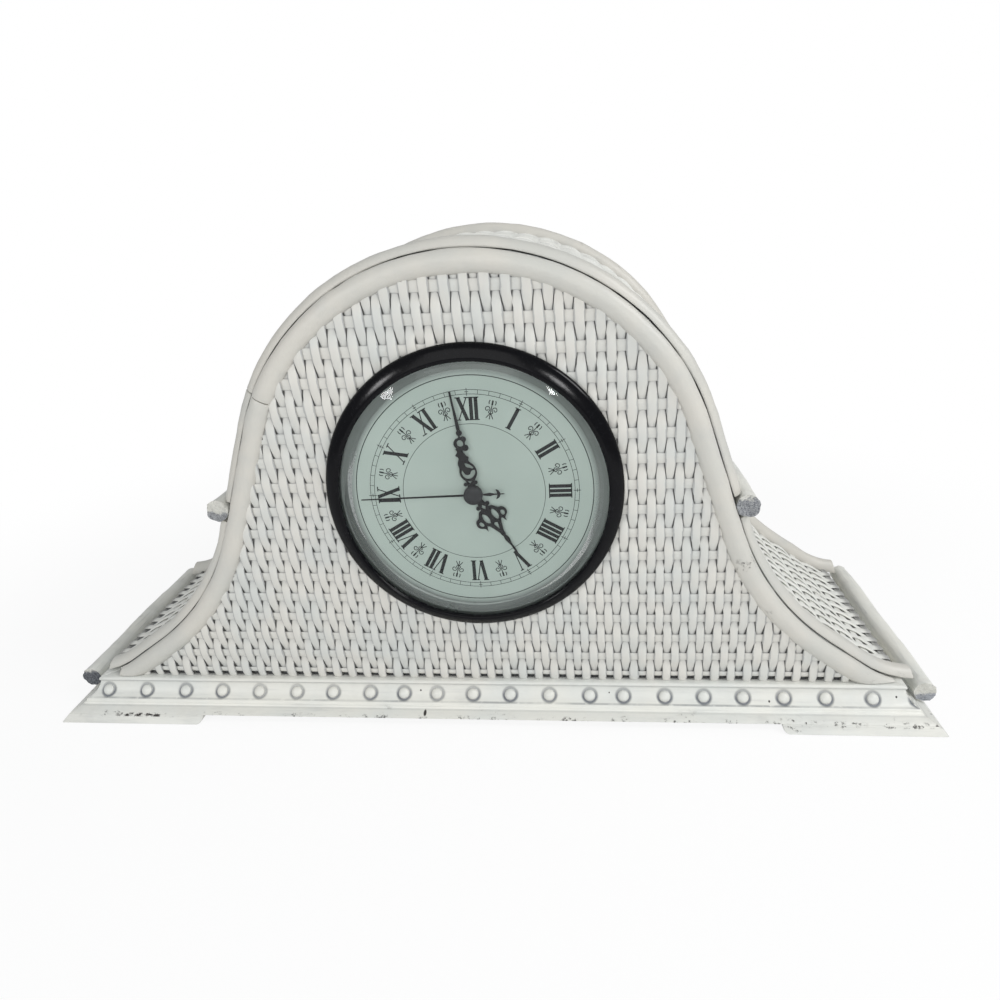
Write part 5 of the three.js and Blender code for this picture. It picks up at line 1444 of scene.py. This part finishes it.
def glued_ply():
    ply = Finish("plywood", tone(198, 176, 138), 0.75)
    x, y, z = ply.axes()
    layers = ply.noise(1.0, 2, 0.5, ply.scaled(3, 900, 3))
    fibres = ply.noise(1.0, 4, 0.6, ply.scaled(60, 60, 900))
    colour = ply.blend(layers.ramp(0.42, 0.58), tone(206, 184, 146), tone(168, 138, 100))
    colour = ply.blend(fibres.ramp(0.5, 0.8) * 0.5, colour, tone(140, 112, 80))
    ply.set(Base_Color=colour)
    return ply.bump(fibres, 0.0002, 0.6).material


FINISHES = {
    "painted_rattan": pole_paint,
    "painted_weave": weave_paint,
    "painted_board": rear_paint,
    "painted_wood": plinth_paint,
    "plywood": glued_ply(),
    "black_ring": ring_black,
    "clear_lens": lens_clear,
    "silver_ring": ring_silver,
    "printed_dial": dial_paint,
    "black_plastic": plain("black_plastic", tone(36, 36, 38), tone(50, 50, 52), 0.5, 1800),
    "spring_steel": plain("spring_steel", tone(176, 180, 184), tone(200, 203, 206), 0.3, 500, 0.9,
                          stretch=(1, 1, 8)),
    "brass": plain("brass", tone(190, 160, 88), tone(208, 182, 112), 0.28, 700, 0.95, stretch=(1, 6, 1)),
    "soft_iron": plain("soft_iron", tone(140, 142, 146), tone(162, 164, 168), 0.4, 600, 0.85),
    "copper_winding": plain("copper_winding", tone(170, 92, 50), tone(196, 116, 66), 0.35, 300, 0.8,
                            stretch=(24, 1, 1)),
    "black_hands": plain("black_hands", tone(13, 13, 15), tone(24, 24, 27), 0.4, 900),
    "white_nylon": plain("white_nylon", tone(232, 230, 222), tone(222, 221, 214), 0.45, 1200),
    "magnet": plain("magnet", tone(70, 71, 74), tone(92, 93, 96), 0.45, 1500, 0.6),
    "cell_can": plain("cell_can", tone(58, 92, 118), tone(70, 104, 128), 0.35, 400, 0.2),
}
for part in frame["record"]["subparts"]:
    solid = nodes[part["node"]]
    solid.data.materials.clear()
    # The boards behind the weave take the dark grey painted shade
    backing = part["node"] in ("front_board", "arch_skin", "shoulder_skin_left", "shoulder_skin_right")
    solid.data.materials.append(board_shade_paint if backing else FINISHES[part["material_slot"]])
cap = turned("hand_cap", (
    (0, -5.95), (1.6, -5.9), (3.0, -5.72), (3.75, -5.45), (4.1, -5.0), (4.15, -3.3), (0, -3.3)),
    steps=64, closed=False)
cap_black = plain("cap_black", tone(40, 40, 42), tone(54, 54, 57), 0.4, 700)
dress(smooth(cap, 35), cap_black, "black_hands", "second")
print("finishes", len(FINISHES))
